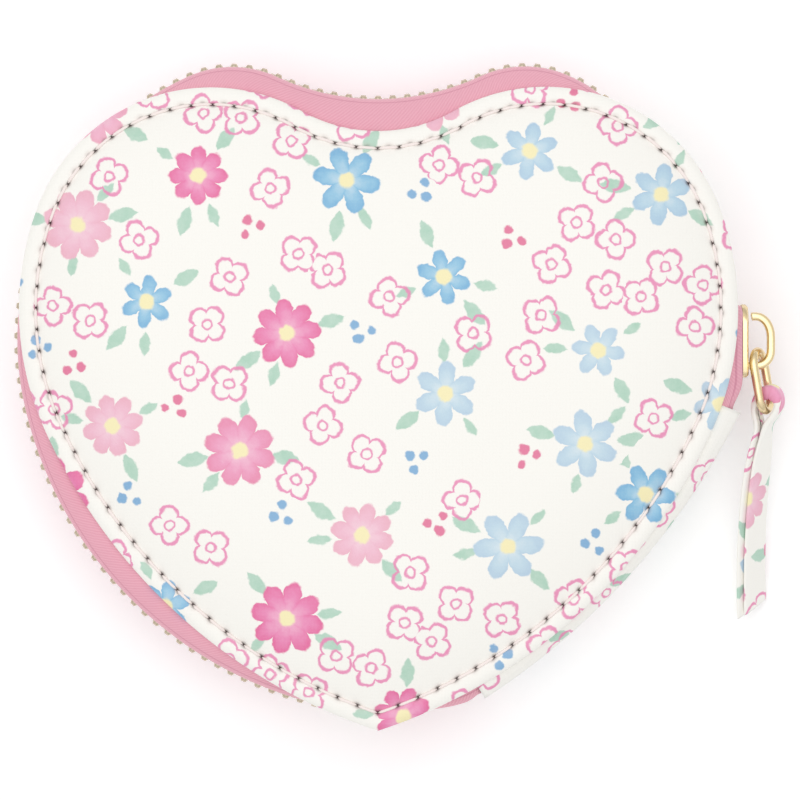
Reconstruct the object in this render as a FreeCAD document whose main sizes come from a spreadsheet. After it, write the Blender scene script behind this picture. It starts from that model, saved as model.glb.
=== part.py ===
import FreeCAD, Part
import math
import os
import Sketcher
from FreeCAD import Placement, Rotation, Vector

# Heart shaped zip-around coin purse, lying on its back panel. Millimetres.
# X runs across the heart, Y from its tip to its lobes and Z out of its front.
# The origin is on the back face, on the heart's line of symmetry.

doc = FreeCAD.newDocument("heart_purse")

# Driving dimensions
SIZES = {
    # Panel outline: tangent arcs from the notch over the lobe to the tip
    "lobe_x": 25.6,
    "lobe_y": 20.5,
    "lobe_radius": 28.5,
    "notch_radius": 23.75,
    "side_angle": 20.0,
    "side_radius": 44.8,
    "lower_angle": -23.8,
    "lower_radius": 85.0,
    # Zip line at mid depth: tangent arcs, rounder than the panels
    "zip_half_width": 55.6,
    "zip_lobe_y": 10.2,
    "zip_lobe_radius": 44.5,
    "zip_top_angle": 66.0,
    "zip_top_radius": 16.2,
    "zip_notch_radius": 37.4,
    "zip_side_angle": -12.0,
    "zip_tip_radius": 40.4,
    "zip_tip_y": -46.75,
    # Depth and layers of each half
    "half_depth": 10.0,
    "seam_height": 5.3,
    "panel_edge": 1.0,
    "panel_thickness": 1.2,
    "crown_inset": 18.0,
    "lining_thickness": 0.5,
    "layer_gap": 0.05,
    # Zip tape
    "tape_thickness": 0.5,
    "tape_edge": 0.75,
    "tape_wall": 3.4,
    "tape_fold": 2.6,
    "tape_flange": 8.5,
    "tape_tuck": 1.2,
    # Hinge gusset
    "gusset_top_y": -0.6,
    "gusset_bottom_x": 15.9,
    "gusset_cover": 1.7,
    "gusset_bulge": 3.9,
    "gusset_thickness": 1.0,
    "gusset_hem": 2.0,
    "gusset_lining_inset": 2.4,
    "gusset_lining_hem": 4.6,
    "gusset_relief": 0.4,
    # Teeth and stops
    "tooth_pitch": 2.3,
    "tooth_length": 0.95,
    "tooth_thickness": 1.8,
    "tooth_head": 0.45,
    "tooth_reach": 2.3,
    "slot_clearance": 0.05,
    "stop_length": 1.4,
    "stop_thickness": 1.2,
    "stop_bridge": 0.25,
    "bottom_stop_x": 3.0,
    # Top stitching
    "stitch_inset": 2.7,
    "stitch_pitch": 3.3,
    "stitch_length": 2.7,
    "thread_diameter": 0.5,
    # Slider
    "slider_length": 11.3,
    "slider_width": 6.4,
    "slider_nose": 4.0,
    "plate_thickness": 1.1,
    "channel_outer": 1.45,
    "channel_inner": 1.45,
    "post_width": 0.84,
    "post_length": 3.2,
    "post_inset": 0.6,
    "lip_width": 0.5,
    "lip_reach": 0.55,
    "front_lip_reach": 0.4,
    "hook_inside": 3.0,
    "hook_bar": 1.25,
    "hook_width": 1.7,
    "hook_height": 8.9,
    "hook_gap": 0.6,
    # Pull link and tab
    "link_wire": 1.3,
    "link_length": 9.2,
    "link_width": 4.4,
    "link_offset": 1.7,
    "link_drop_angle": 6.5,
    "link_lean_angle": 5.0,
    "link_twist_angle": -22.0,
    "tab_swing_angle": -7.5,
    "tab_length": 31.0,
    "tab_width": 6.0,
    "tab_layer": 1.0,
    "tab_neck": 1.8,
    "tab_flare": 8.0,
    "tab_slant": 1.2,
    "loop_clearance": 0.3,
    "loop_slack": 0.9,
}

sheet = doc.addObject("Spreadsheet::Sheet", "Sizes")
for row, (alias, number) in enumerate(SIZES.items(), start=1):
    sheet.set(f"A{row}", alias)
    sheet.set(f"B{row}", str(number))
    sheet.setAlias(f"B{row}", alias)
doc.recompute()


def size(alias):
    """One driving dimension, read back from the sheet."""
    return float(sheet.get(alias))


def along(angle):
    """Unit vector in the XY plane at an angle in radians."""
    return Vector(math.cos(angle), math.sin(angle), 0)


def mirrored(arcs):
    """The same arcs on the other side of the YZ plane, in reverse order."""
    flipped = []
    for centre, radius, start, end, name in reversed(arcs):
        flipped.append((Vector(-centre.x, centre.y, 0), radius, math.pi - end, math.pi - start, name))
    return flipped


# Each arc is (centre, radius, start angle, end angle, name of its radius), counter-clockwise.

def notch_arc(lobe_centre, lobe_radius, notch_radius, name):
    """Concave arc on the axis that touches both lobes, and the lobe angle where it does."""
    rise = math.sqrt((notch_radius + lobe_radius) ** 2 - lobe_centre.x ** 2)
    centre = Vector(0, lobe_centre.y + rise, 0)
    touch = math.atan2(rise, -lobe_centre.x)
    return (centre, notch_radius, 2 * math.pi - touch, math.pi + touch, name), touch


def panel_outline():
    """Panel heart: notch, then right and left lobes, sides and lower edges to the pointed tip."""
    lobe = Vector(size("lobe_x"), size("lobe_y"), 0)
    side_start = math.radians(size("side_angle"))
    lower_start = math.radians(size("lower_angle"))
    side = lobe + along(side_start) * (size("lobe_radius") - size("side_radius"))
    lower = side + along(lower_start) * (size("side_radius") - size("lower_radius"))
    notch, touch = notch_arc(lobe, size("lobe_radius"), size("notch_radius"), "notch_radius")
    right = [
        (lower, size("lower_radius"), None, lower_start, "lower_radius"),
        (side, size("side_radius"), lower_start, side_start, "side_radius"),
        (lobe, size("lobe_radius"), side_start, touch, "lobe_radius"),
    ]
    return notch, right


def panel_arcs(inset):
    """Closed panel outline moved inwards, as arcs in order from the tip."""
    notch, right = panel_outline()
    moved = []
    for centre, radius, start, end, name in right:
        tip = -math.acos(-centre.x / (radius - inset)) if start is None else start
        moved.append((centre, radius - inset, tip, end, name))
    centre, radius, start, end, name = notch
    return moved + [(centre, radius + inset, start, end, name)] + mirrored(moved)


def zip_lobe():
    """Centre of the zip line's right lobe."""
    return Vector(size("zip_half_width") - size("zip_lobe_radius"), size("zip_lobe_y"), 0)


def zip_outline():
    """Zip line heart: tip, right side, lobe and top, notch, then the left half."""
    lobe = zip_lobe()
    radius = size("zip_lobe_radius")
    top_start = math.radians(size("zip_top_angle"))
    side_start = math.radians(size("zip_side_angle"))
    top = lobe + along(top_start) * (radius - size("zip_top_radius"))
    tip = Vector(0, size("zip_tip_y") + size("zip_tip_radius"), 0)
    # The side arc touches the lobe at its start angle and the tip arc below
    step = radius - size("zip_tip_radius")
    reach = lobe - tip
    extra = (reach.Length ** 2 - step ** 2) / (2 * (reach.dot(along(side_start)) + step))
    side = lobe - along(side_start) * extra
    tip_touch = math.atan2(tip.y - side.y, tip.x - side.x)
    notch, touch = notch_arc(top, size("zip_top_radius"), size("zip_notch_radius"), "zip_notch_radius")
    right = [
        (side, radius + extra, tip_touch, side_start, None),
        (lobe, radius, side_start, top_start, "zip_lobe_radius"),
        (top, size("zip_top_radius"), top_start, touch, "zip_top_radius"),
    ]
    bottom = (tip, size("zip_tip_radius"), -math.pi - tip_touch, tip_touch, "zip_tip_radius")
    return bottom, right, notch


def zip_arcs(inset):
    """Closed zip line moved inwards, as arcs in order from the tip."""
    bottom, right, notch = zip_outline()
    moved = [(centre, radius - inset, start, end, name) for centre, radius, start, end, name in right]
    centre, radius, start, end, name = notch
    concave = (centre, radius + inset, start, end, name)
    centre, radius, start, end, name = bottom
    return [(centre, radius - inset, start, end, name)] + moved + [concave] + mirrored(moved)


# Sketch and body helpers

def new_body(label):
    body = doc.addObject("PartDesign::Body", label)
    body.Label = label
    return body


def new_sketch(body, name, role, height):
    """Empty sketch on one of the body's origin planes, raised by an expression of the sheet."""
    sketch = body.newObject("Sketcher::SketchObject", name)
    plane = [feature for feature in body.Origin.OriginFeatures if feature.Role == role][0]
    sketch.AttachmentSupport = [(plane, "")]
    sketch.MapMode = "FlatFace"
    sketch.setExpression("AttachmentOffset.Base.z", height)
    return sketch


def add_arc(sketch, centre, radius, start, end):
    circle = Part.Circle(centre, Vector(0, 0, 1), radius)
    return sketch.addGeometry(Part.ArcOfCircle(circle, start, end), False)


def bind_radius(sketch, arc, radius, expression):
    index = sketch.addConstraint(Sketcher.Constraint("Radius", arc, radius))
    sketch.setExpression(f"Constraints[{index}]", expression)


def outline_sketch(body, name, arcs, height, inset="0"):
    """Closed sketch of an outline; each radius is its size in the sheet less the inset."""
    sketch = new_sketch(body, name, "XY_Plane", height)
    for centre, radius, start, end, alias in arcs:
        arc = add_arc(sketch, centre, radius, start, end)
        if alias is not None:
            sign = "+" if "notch" in alias else "-"
            bind_radius(sketch, arc, radius, f"Sizes.{alias} {sign} ({inset})")
    return sketch


def polygon_sketch(body, name, role, points, height="0"):
    sketch = new_sketch(body, name, role, height)
    corners = [Vector(x, y, 0) for x, y in points]
    for first, second in zip(corners, corners[1:] + corners[:1]):
        sketch.addGeometry(Part.LineSegment(first, second), False)
    return sketch


def loft(body, kind, name, sketches):
    feature = body.newObject(f"PartDesign::{kind}", name)
    feature.Profile = (sketches[0], [""])
    feature.Sections = [(sketch, [""]) for sketch in sketches[1:]]
    feature.Ruled = True
    doc.recompute()
    return feature


def pad(body, name, sketch, length, midplane=False, backwards=False):
    feature = body.newObject("PartDesign::Pad", name)
    feature.Profile = sketch
    feature.setExpression("Length", length)
    feature.Midplane = midplane
    feature.Reversed = backwards
    doc.recompute()
    return feature


def pocket(body, name, sketch, length, upwards):
    """Pocket that must remove material from the body."""
    before = body.Shape.Volume
    feature = body.newObject("PartDesign::Pocket", name)
    feature.Profile = sketch
    feature.setExpression("Length", length)
    feature.Reversed = upwards
    doc.recompute()
    if feature.Shape.Volume > before - 1e-3:
        raise RuntimeError(f"{name} cuts nothing")
    return feature


def feature_from(label, shape):
    """A node made of many small solids of one form, set along a line."""
    node = doc.addObject("Part::Feature", label)
    node.Label = label
    node.Shape = shape
    return node


def mirror_to_back(source, label):
    """The back half's copy of a front piece, mirrored in the mid plane."""
    copy = doc.addObject("Part::Mirroring", label)
    copy.Label = label
    copy.Source = source
    copy.Normal = Vector(0, 0, 1)
    copy.Base = Vector(0, 0, size("half_depth"))
    copy.setExpression("Base.z", "Sizes.half_depth")
    doc.recompute()
    return copy


nodes = []
MID = "Sizes.half_depth"
SEAM = "Sizes.half_depth + Sizes.seam_height"
FLANGE_TOP = f"{SEAM} - Sizes.layer_gap"
FLANGE_BOTTOM = f"{FLANGE_TOP} - Sizes.tape_thickness"
LINING_BOTTOM = f"{FLANGE_BOTTOM} - Sizes.layer_gap - Sizes.lining_thickness"
WALL_TOP = "Sizes.half_depth + Sizes.tape_wall"
CROWN = "2 * Sizes.half_depth"
mid = size("half_depth")


# Front panel: printed cloth with a turned edge, crowned over its padding
def front_panel():
    body = new_body("front_panel")
    crown = size("crown_inset")
    wall = size("panel_thickness")
    outside = [
        outline_sketch(body, "panel_hem", panel_arcs(0), SEAM),
        outline_sketch(body, "panel_rim", panel_arcs(0), f"{SEAM} + Sizes.panel_edge"),
        outline_sketch(body, "panel_crown", panel_arcs(crown), CROWN, "Sizes.crown_inset"),
    ]
    loft(body, "AdditiveLoft", "panel_outside", outside)
    inside = [
        outline_sketch(body, "panel_mouth", panel_arcs(wall), SEAM, "Sizes.panel_thickness"),
        outline_sketch(body, "panel_ceiling", panel_arcs(crown), f"{CROWN} - Sizes.panel_thickness",
                       "Sizes.crown_inset"),
    ]
    loft(body, "SubtractiveLoft", "panel_inside", inside)
    return body


# Foam sheet that fills the panel's crown
def front_padding():
    body = new_body("front_padding")
    edge = size("panel_thickness") + size("layer_gap")
    crown = size("crown_inset")
    sketches = [
        outline_sketch(body, "padding_base", panel_arcs(edge), SEAM,
                       "Sizes.panel_thickness + Sizes.layer_gap"),
        outline_sketch(body, "padding_crown", panel_arcs(crown),
                       f"{CROWN} - Sizes.panel_thickness - Sizes.layer_gap", "Sizes.crown_inset"),
    ]
    loft(body, "AdditiveLoft", "padding_block", sketches)
    return body


# Lining sheet, sewn in over the zip tape's flange
def front_lining():
    body = new_body("front_lining")
    inset = "Sizes.tape_fold + Sizes.tape_thickness + Sizes.gusset_relief"
    edge = size("tape_fold") + size("tape_thickness") + size("gusset_relief")
    sketch = outline_sketch(body, "lining_outline", zip_arcs(edge), LINING_BOTTOM, inset)
    pad(body, "lining_sheet", sketch, "Sizes.lining_thickness")
    # Along the hinge the sheet stops short of the gusset's hem
    hub = gusset_frame()[3]
    edge = size("lower_radius") - size("gusset_hem") - 2 * size("gusset_thickness")
    beyond = size("lower_radius") + size("gusset_hem") + size("gusset_bulge")
    cut = band_sketch(body, "lining_hinge_band", LINING_BOTTOM, (hub, beyond), (hub, edge), size("gusset_relief"))
    pocket(body, "lining_hinge_edge", cut, "2 * Sizes.lining_thickness", True)
    return body


# Hinge gusset: its ends on the zip line, and the arcs of its mid band and hems
def zip_place_at_height(y):
    """Point and outward direction of the right side of the zip line at a height below the lobe."""
    bottom, right, notch = zip_outline()
    centre, radius, start, end, name = right[0]
    angle = math.asin((y - centre.y) / radius)
    return centre + along(angle) * radius, along(angle)


def zip_place_at_tip(x):
    """Point and outward direction of the zip line's tip arc at a place across the heart."""
    bottom, right, notch = zip_outline()
    centre, radius, start, end, name = bottom
    angle = -math.acos(x / radius)
    return centre + along(angle) * radius, along(angle)


def gusset_frame():
    """Outer ends and middle of the gusset, and the directions of its ends from the panel's centre."""
    top, top_out = zip_place_at_height(size("gusset_top_y"))
    bottom, bottom_out = zip_place_at_tip(size("gusset_bottom_x"))
    top = top + top_out * size("gusset_cover")
    bottom = bottom + bottom_out * size("gusset_cover")
    chord = top - bottom
    outward = Vector(chord.y, -chord.x, 0).normalize()
    middle = (top + bottom) * 0.5 + outward * size("gusset_bulge")
    hub = panel_outline()[1][0][0]
    return top, middle, bottom, hub


def end_angle(hub, point):
    return math.atan2(point.y - hub.y, point.x - hub.x)


def band_sketch(body, name, height, outer, inner, widen=0.0):
    """Closed band between two arcs, each (centre, radius), with its ends in line with the panel's hub."""
    top, middle, bottom, hub = gusset_frame()
    chord = (top - bottom).normalize()
    sketch = new_sketch(body, name, "XY_Plane", height)
    ends = []
    for centre, radius in (outer, inner):
        first = arc_point(centre, radius, hub, bottom - chord * widen)
        last = arc_point(centre, radius, hub, top + chord * widen)
        add_arc(sketch, centre, radius, end_angle(centre, first), end_angle(centre, last))
        ends.append((first, last))
    sketch.addGeometry(Part.LineSegment(ends[0][0], ends[1][0]), False)
    sketch.addGeometry(Part.LineSegment(ends[0][1], ends[1][1]), False)
    return sketch


def arc_point(centre, radius, hub, through):
    """Where the ray from the hub through a point meets the circle."""
    direction = (through - hub).normalize()
    offset = hub - centre
    half = offset.dot(direction)
    travel = -half + math.sqrt(half ** 2 - offset.Length ** 2 + radius ** 2)
    return hub + direction * travel


def gusset_middle_circle():
    top, middle, bottom, hub = gusset_frame()
    circle = Part.Arc(top, middle, bottom).toShape().Curve
    return circle.Center, circle.Radius


def hinge_gusset():
    """Printed cloth strip that joins the two halves; it carries on under both panel edges."""
    body = new_body("hinge_gusset")
    hub = gusset_frame()[3]
    centre, radius = gusset_middle_circle()
    thick = size("gusset_thickness")
    hem = size("lower_radius") - size("gusset_hem")
    low = f"{MID} - Sizes.seam_height + Sizes.layer_gap"
    rows = [
        ("gusset_back_hem", low, (hub, hem)),
        ("gusset_back_fold", f"{MID} - Sizes.tape_wall", (centre, radius)),
        ("gusset_front_fold", WALL_TOP, (centre, radius)),
        ("gusset_front_hem", FLANGE_TOP, (hub, hem)),
    ]
    sketches = []
    for name, height, (arc_centre, arc_radius) in rows:
        sketches.append(band_sketch(body, name, height, (arc_centre, arc_radius),
                                    (arc_centre, arc_radius - thick)))
    loft(body, "AdditiveLoft", "gusset_strip", sketches)
    return body


def hinge_gusset_lining():
    """Lining strip inside the gusset; the ends of the zip tapes lie between the two."""
    body = new_body("hinge_gusset_lining")
    centre, radius = gusset_middle_circle()
    thick = size("lining_thickness")
    fold = radius - size("gusset_lining_inset")
    hem = radius - size("gusset_lining_hem")
    drop = "Sizes.tape_thickness + 3 * Sizes.layer_gap + Sizes.lining_thickness"
    rows = [
        ("strip_back_hem", f"{MID} - Sizes.seam_height + {drop}", hem),
        ("strip_back_fold", f"{MID} - Sizes.tape_wall", fold),
        ("strip_front_fold", WALL_TOP, fold),
        ("strip_front_hem", f"{SEAM} - ({drop})", hem),
    ]
    sketches = []
    for name, height, arc_radius in rows:
        sketches.append(band_sketch(body, name, height, (centre, arc_radius), (centre, arc_radius - thick)))
    loft(body, "AdditiveLoft", "lining_strip", sketches)
    return body


# Zip tape of the front half: a wall at the teeth that folds in under the panel's edge
def front_zip_tape():
    body = new_body("front_zip_tape")
    half = size("tape_thickness") / 2
    fold = size("tape_fold")
    edge = f"{MID} + Sizes.tape_edge"
    outside = [
        outline_sketch(body, "tape_edge_outside", zip_arcs(-half), edge, "-Sizes.tape_thickness / 2"),
        outline_sketch(body, "tape_bend_outside", zip_arcs(-half), WALL_TOP, "-Sizes.tape_thickness / 2"),
        outline_sketch(body, "tape_flange_outside", zip_arcs(fold), FLANGE_TOP, "Sizes.tape_fold"),
    ]
    loft(body, "AdditiveLoft", "tape_outside", outside)
    inside = [
        outline_sketch(body, "tape_edge_inside", zip_arcs(half), edge, "Sizes.tape_thickness / 2"),
        outline_sketch(body, "tape_bend_inside", zip_arcs(half), WALL_TOP, "Sizes.tape_thickness / 2"),
        outline_sketch(body, "tape_flange_inside", zip_arcs(fold + 2 * half), FLANGE_BOTTOM,
                       "Sizes.tape_fold + Sizes.tape_thickness"),
    ]
    loft(body, "SubtractiveLoft", "tape_inside", inside)
    opening = outline_sketch(body, "tape_opening", zip_arcs(size("tape_flange")), FLANGE_TOP, "Sizes.tape_flange")
    pocket(body, "tape_window", opening, "2 * Sizes.tape_thickness", False)
    # The gusset takes the tape's place along the hinge: the wall runs on a little inside it
    top, middle, bottom, hub = gusset_frame()
    tuck = size("tape_tuck") / size("lower_radius")
    relief = size("gusset_relief") / size("lower_radius")
    wall = sector_sketch(body, "hinge_sector", edge, hub, end_angle(hub, bottom) + tuck,
                         end_angle(hub, top) - tuck)
    pocket(body, "hinge_cut", wall, "Sizes.seam_height", True)
    skirt = sector_sketch(body, "gusset_sector", f"{WALL_TOP} - Sizes.gusset_thickness", hub,
                          end_angle(hub, bottom) - relief, end_angle(hub, top) + relief)
    pocket(body, "gusset_cut", skirt, "Sizes.seam_height", True)
    return body


def sector_sketch(body, name, height, hub, first, last):
    """Triangle from a hub inside the heart, past the band, between two directions."""
    reach = 3 * size("lower_radius")
    corners = [hub, hub + along(first) * reach, hub + along(last) * reach]
    return polygon_sketch(body, name, "XY_Plane", [(corner.x, corner.y) for corner in corners], height)


# Places along the zip line, from the bottom stop round the left half to the slider
def zip_route():
    """Arcs in travel order as (centre, radius, start angle, turn); a turn below zero is clockwise."""
    bottom, right, notch = zip_outline()
    start = -math.acos((size("bottom_stop_x") - size("stop_length")) / bottom[1])
    route = [(bottom[0], bottom[1], start, bottom[2] - start)]
    for centre, radius, first, last, name in reversed(mirrored(right)):
        route.append((centre, radius, last, first - last))
    centre, radius, first, last, name = notch
    route.append((centre, radius, first, last - first))
    for centre, radius, first, last, name in reversed(right):
        stop = 0.0 if name == "zip_lobe_radius" else first
        route.append((centre, radius, last, stop - last))
        if name == "zip_lobe_radius":
            break
    return route


def place_on_route(route, distance):
    """Point, heading and outward direction at a distance along the route."""
    for centre, radius, start, turn in route:
        length = radius * abs(turn)
        if distance <= length:
            angle = start + math.copysign(distance / radius, turn)
            spoke = along(angle)
            outward = spoke if turn < 0 else spoke * -1
            return centre + spoke * radius, outward
        distance -= length
    raise ValueError("past the end of the zip")


def route_length(route):
    return sum(radius * abs(turn) for centre, radius, start, turn in route)


def clip(length, thickness, bottom, top, slot_from):
    """A small block that clasps the tape's edge: X outward, Y along the zip, Z across it."""
    block = Part.makeBox(thickness, length, top - bottom, Vector(-thickness / 2, -length / 2, bottom))
    gap = size("tape_thickness") + 2 * size("slot_clearance")
    slot = Part.makeBox(gap, 2 * length, top - slot_from + length, Vector(-gap / 2, -length, slot_from))
    return block.cut(slot)


def turned(shape, point, outward, front):
    """A clip set on the zip line, with its jaws towards the front or the back tape."""
    copy = shape.copy()
    if not front:
        copy = copy.mirror(Vector(0, 0, 0), Vector(0, 0, 1))
    heading = math.degrees(math.atan2(outward.y, outward.x))
    copy.Placement = Placement(Vector(point.x, point.y, mid), Rotation(Vector(0, 0, 1), heading)).multiply(
        copy.Placement)
    return copy


def zip_teeth(label, front):
    """One row of teeth; the two rows interlock half a pitch apart."""
    route = zip_route()
    pitch = size("tooth_pitch")
    tooth = clip(size("tooth_length"), size("tooth_thickness"), -size("tooth_head"), size("tooth_reach"),
                 size("tape_edge") - size("slot_clearance"))
    first = pitch if front else pitch / 2
    count = int((route_length(route) - first) / pitch)
    row = []
    for index in range(count):
        point, outward = place_on_route(route, first + index * pitch)
        row.append(turned(tooth, point, outward, front))
    return feature_from(label, Part.makeCompound(row))


def stop_clip():
    bridge = size("tape_edge") - size("slot_clearance") - size("stop_bridge")
    return clip(size("stop_length"), size("stop_thickness"), bridge, size("tooth_reach"),
                size("tape_edge") - size("slot_clearance"))


def top_stop(label, front):
    """Crimped staple at the closed end of one row, in the slider's mouth."""
    back_off = size("slider_length") / 2 - size("stop_length") / 2
    spoke = along(-back_off / size("zip_lobe_radius"))
    point = zip_lobe() + spoke * size("zip_lobe_radius")
    return feature_from(label, Part.makeCompound([turned(stop_clip(), point, spoke, front)]))


def bottom_stop():
    """Box staple at the open end of the teeth, crimped on the back tape."""
    point, outward = zip_place_at_tip(size("bottom_stop_x"))
    staple = clip(size("stop_length"), size("tooth_thickness"), -size("tooth_head"), size("tooth_reach"),
                  size("tape_edge") - size("slot_clearance"))
    return feature_from("bottom_stop", Part.makeCompound([turned(staple, point, outward, False)]))


# Top stitching: thread lying on the panel between its needle holes
def panel_surface(inset):
    """Height of the panel's outside face at an inset from its edge."""
    rim = mid + size("seam_height") + size("panel_edge")
    return rim + (2 * mid - rim) * inset / size("crown_inset")


def front_topstitch():
    inset = size("stitch_inset")
    radius = size("thread_diameter") / 2
    height = panel_surface(inset) + radius + size("layer_gap")
    length = size("stitch_length")
    row = []
    for centre, arc_radius, start, end, name in panel_arcs(inset):
        count = max(1, round(arc_radius * (end - start) / size("stitch_pitch")))
        for index in range(count):
            angle = start + (end - start) * (index + 0.5) / count
            point = centre + along(angle) * arc_radius
            heading = along(angle + math.pi / 2)
            base = Vector(point.x, point.y, height) - heading * (length / 2)
            row.append(Part.makeCylinder(radius, length, base, heading))
    return feature_from("front_topstitch", Part.makeCompound(row))


# Slider: two plates on a post, with lips round the back tape and an open hook for the pull
def slider_place():
    return Placement(zip_lobe() + Vector(size("zip_lobe_radius"), 0, mid), Rotation())


def slider_body():
    body = new_body("slider_body")
    half_length = size("slider_length") / 2
    half_width = size("slider_width") / 2
    nose = half_length - size("slider_nose") / 2
    nose_width = half_width - size("slider_nose") / 4
    outer = size("channel_outer")
    face = outer + size("plate_thickness")
    plate = [(-half_length, -half_width), (nose, -half_width), (half_length, -nose_width),
             (half_length, nose_width), (nose, half_width), (-half_length, half_width)]
    sketch = polygon_sketch(body, "outer_plate_outline", "YZ_Plane", plate, "Sizes.channel_outer")
    pad(body, "outer_plate", sketch, "Sizes.plate_thickness")
    post_end = -half_length + size("post_inset")
    post_half = size("post_width") / 2
    post_top = post_end + size("post_length")
    post = [(post_end, -post_half), (post_top - post_half, -post_half), (post_top, 0),
            (post_top - post_half, post_half), (post_end, post_half)]
    sketch = polygon_sketch(body, "post_outline", "YZ_Plane", post, "-Sizes.channel_inner")
    pad(body, "post", sketch, "Sizes.channel_inner + Sizes.channel_outer")
    sketch = polygon_sketch(body, "inner_plate_outline", "YZ_Plane", plate, "-Sizes.channel_inner")
    pad(body, "inner_plate", sketch, "Sizes.plate_thickness", backwards=True)
    lip = size("lip_width")
    back_lip = [(-half_length, -half_width), (nose, -half_width), (nose, lip - half_width),
                (-half_length, lip - half_width)]
    sketch = polygon_sketch(body, "outer_lip_outline", "YZ_Plane", back_lip,
                            "Sizes.channel_outer - Sizes.lip_reach")
    pad(body, "outer_back_lip", sketch, "Sizes.lip_reach")
    sketch = polygon_sketch(body, "inner_lip_outline", "YZ_Plane", back_lip, "-Sizes.channel_inner")
    pad(body, "inner_back_lip", sketch, "Sizes.lip_reach")
    front_lip = [(0, half_width - lip), (nose, half_width - lip), (nose, half_width), (0, half_width)]
    sketch = polygon_sketch(body, "front_lip_outline", "YZ_Plane", front_lip,
                            "Sizes.channel_outer - Sizes.front_lip_reach")
    pad(body, "outer_front_lip", sketch, "Sizes.front_lip_reach")
    hook_sketch(body, face)
    pad(body, "pull_hook", body.getObject("hook_outline"), "Sizes.hook_width", midplane=True)
    body.Placement = slider_place()
    return body


def hook_sketch(body, face):
    """D-shaped hook: fixed at its lower end, with a gap to the plate at its upper end."""
    bar = size("hook_bar")
    half = size("hook_height") / 2
    inner = face + size("hook_inside")
    outer = inner + bar
    inner_corner = size("hook_inside") / 2
    outer_corner = inner_corner + bar
    tip = face + size("hook_gap")
    root = face - size("plate_thickness") / 2
    sketch = new_sketch(body, "hook_outline", "XY_Plane", "0")
    low_centre = Vector(outer - outer_corner, -half + outer_corner, 0)
    high_centre = Vector(outer - outer_corner, half - outer_corner, 0)

    def line(first, second):
        sketch.addGeometry(Part.LineSegment(Vector(*first, 0), Vector(*second, 0)), False)

    line((root, -half), (low_centre.x, -half))
    add_arc(sketch, low_centre, outer_corner, -math.pi / 2, 0)
    line((outer, low_centre.y), (outer, high_centre.y))
    add_arc(sketch, high_centre, outer_corner, 0, math.pi / 2)
    line((high_centre.x, half), (tip, half))
    line((tip, half), (tip, half - bar))
    line((tip, half - bar), (high_centre.x, half - bar))
    add_arc(sketch, high_centre, inner_corner, 0, math.pi / 2)
    line((inner, high_centre.y), (inner, low_centre.y))
    add_arc(sketch, low_centre, inner_corner, -math.pi / 2, 0)
    line((low_centre.x, -half + bar), (root, -half + bar))
    line((root, -half + bar), (root, -half))


# Pull link: a closed oval of wire, threaded on the hook's lower bar
def link_place():
    """Link's frame: origin in the hook's lower bar, -Y along the link and Z across it."""
    face = size("channel_outer") + size("plate_thickness")
    bar_height = (size("hook_bar") - size("hook_height")) / 2
    pivot = Vector(face + size("link_offset"), bar_height, 0)
    turn = Rotation(Vector(1, 0, 0), size("link_drop_angle"))
    turn = turn.multiply(Rotation(Vector(0, 0, 1), size("link_lean_angle")))
    turn = turn.multiply(Rotation(Vector(0, 1, 0), size("link_twist_angle")))
    return slider_place().multiply(Placement(pivot, turn))


def link_solid():
    """Two half rings of wire joined by two straight bars."""
    half = size("link_width") / 2
    run = size("link_length") - size("link_width")
    radius = size("link_wire") / 2
    ring = Part.makeTorus(half, radius, Vector(0, 0, 0), Vector(1, 0, 0))
    limit = 2 * size("link_length")
    upper = Part.makeBox(limit, limit, limit, Vector(-limit / 2, 0, -limit / 2))
    lower = Part.makeBox(limit, limit, limit, Vector(-limit / 2, -limit, -limit / 2))
    top = ring.common(upper)
    low = ring.common(lower)
    low.translate(Vector(0, -run, 0))
    bars = [Part.makeCylinder(radius, run, Vector(0, -run, side * half), Vector(0, 1, 0)) for side in (-1, 1)]
    return top.fuse([low] + bars).removeSplitter()


# Pull tab: a folded strip of the printed cloth, looped through the link
def tab_place():
    end = Vector(0, size("link_width") / 2 - size("link_length"), 0)
    turn = Rotation(Vector(0, 0, 1), size("tab_swing_angle"))
    return link_place().multiply(Placement(end, turn))


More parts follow.
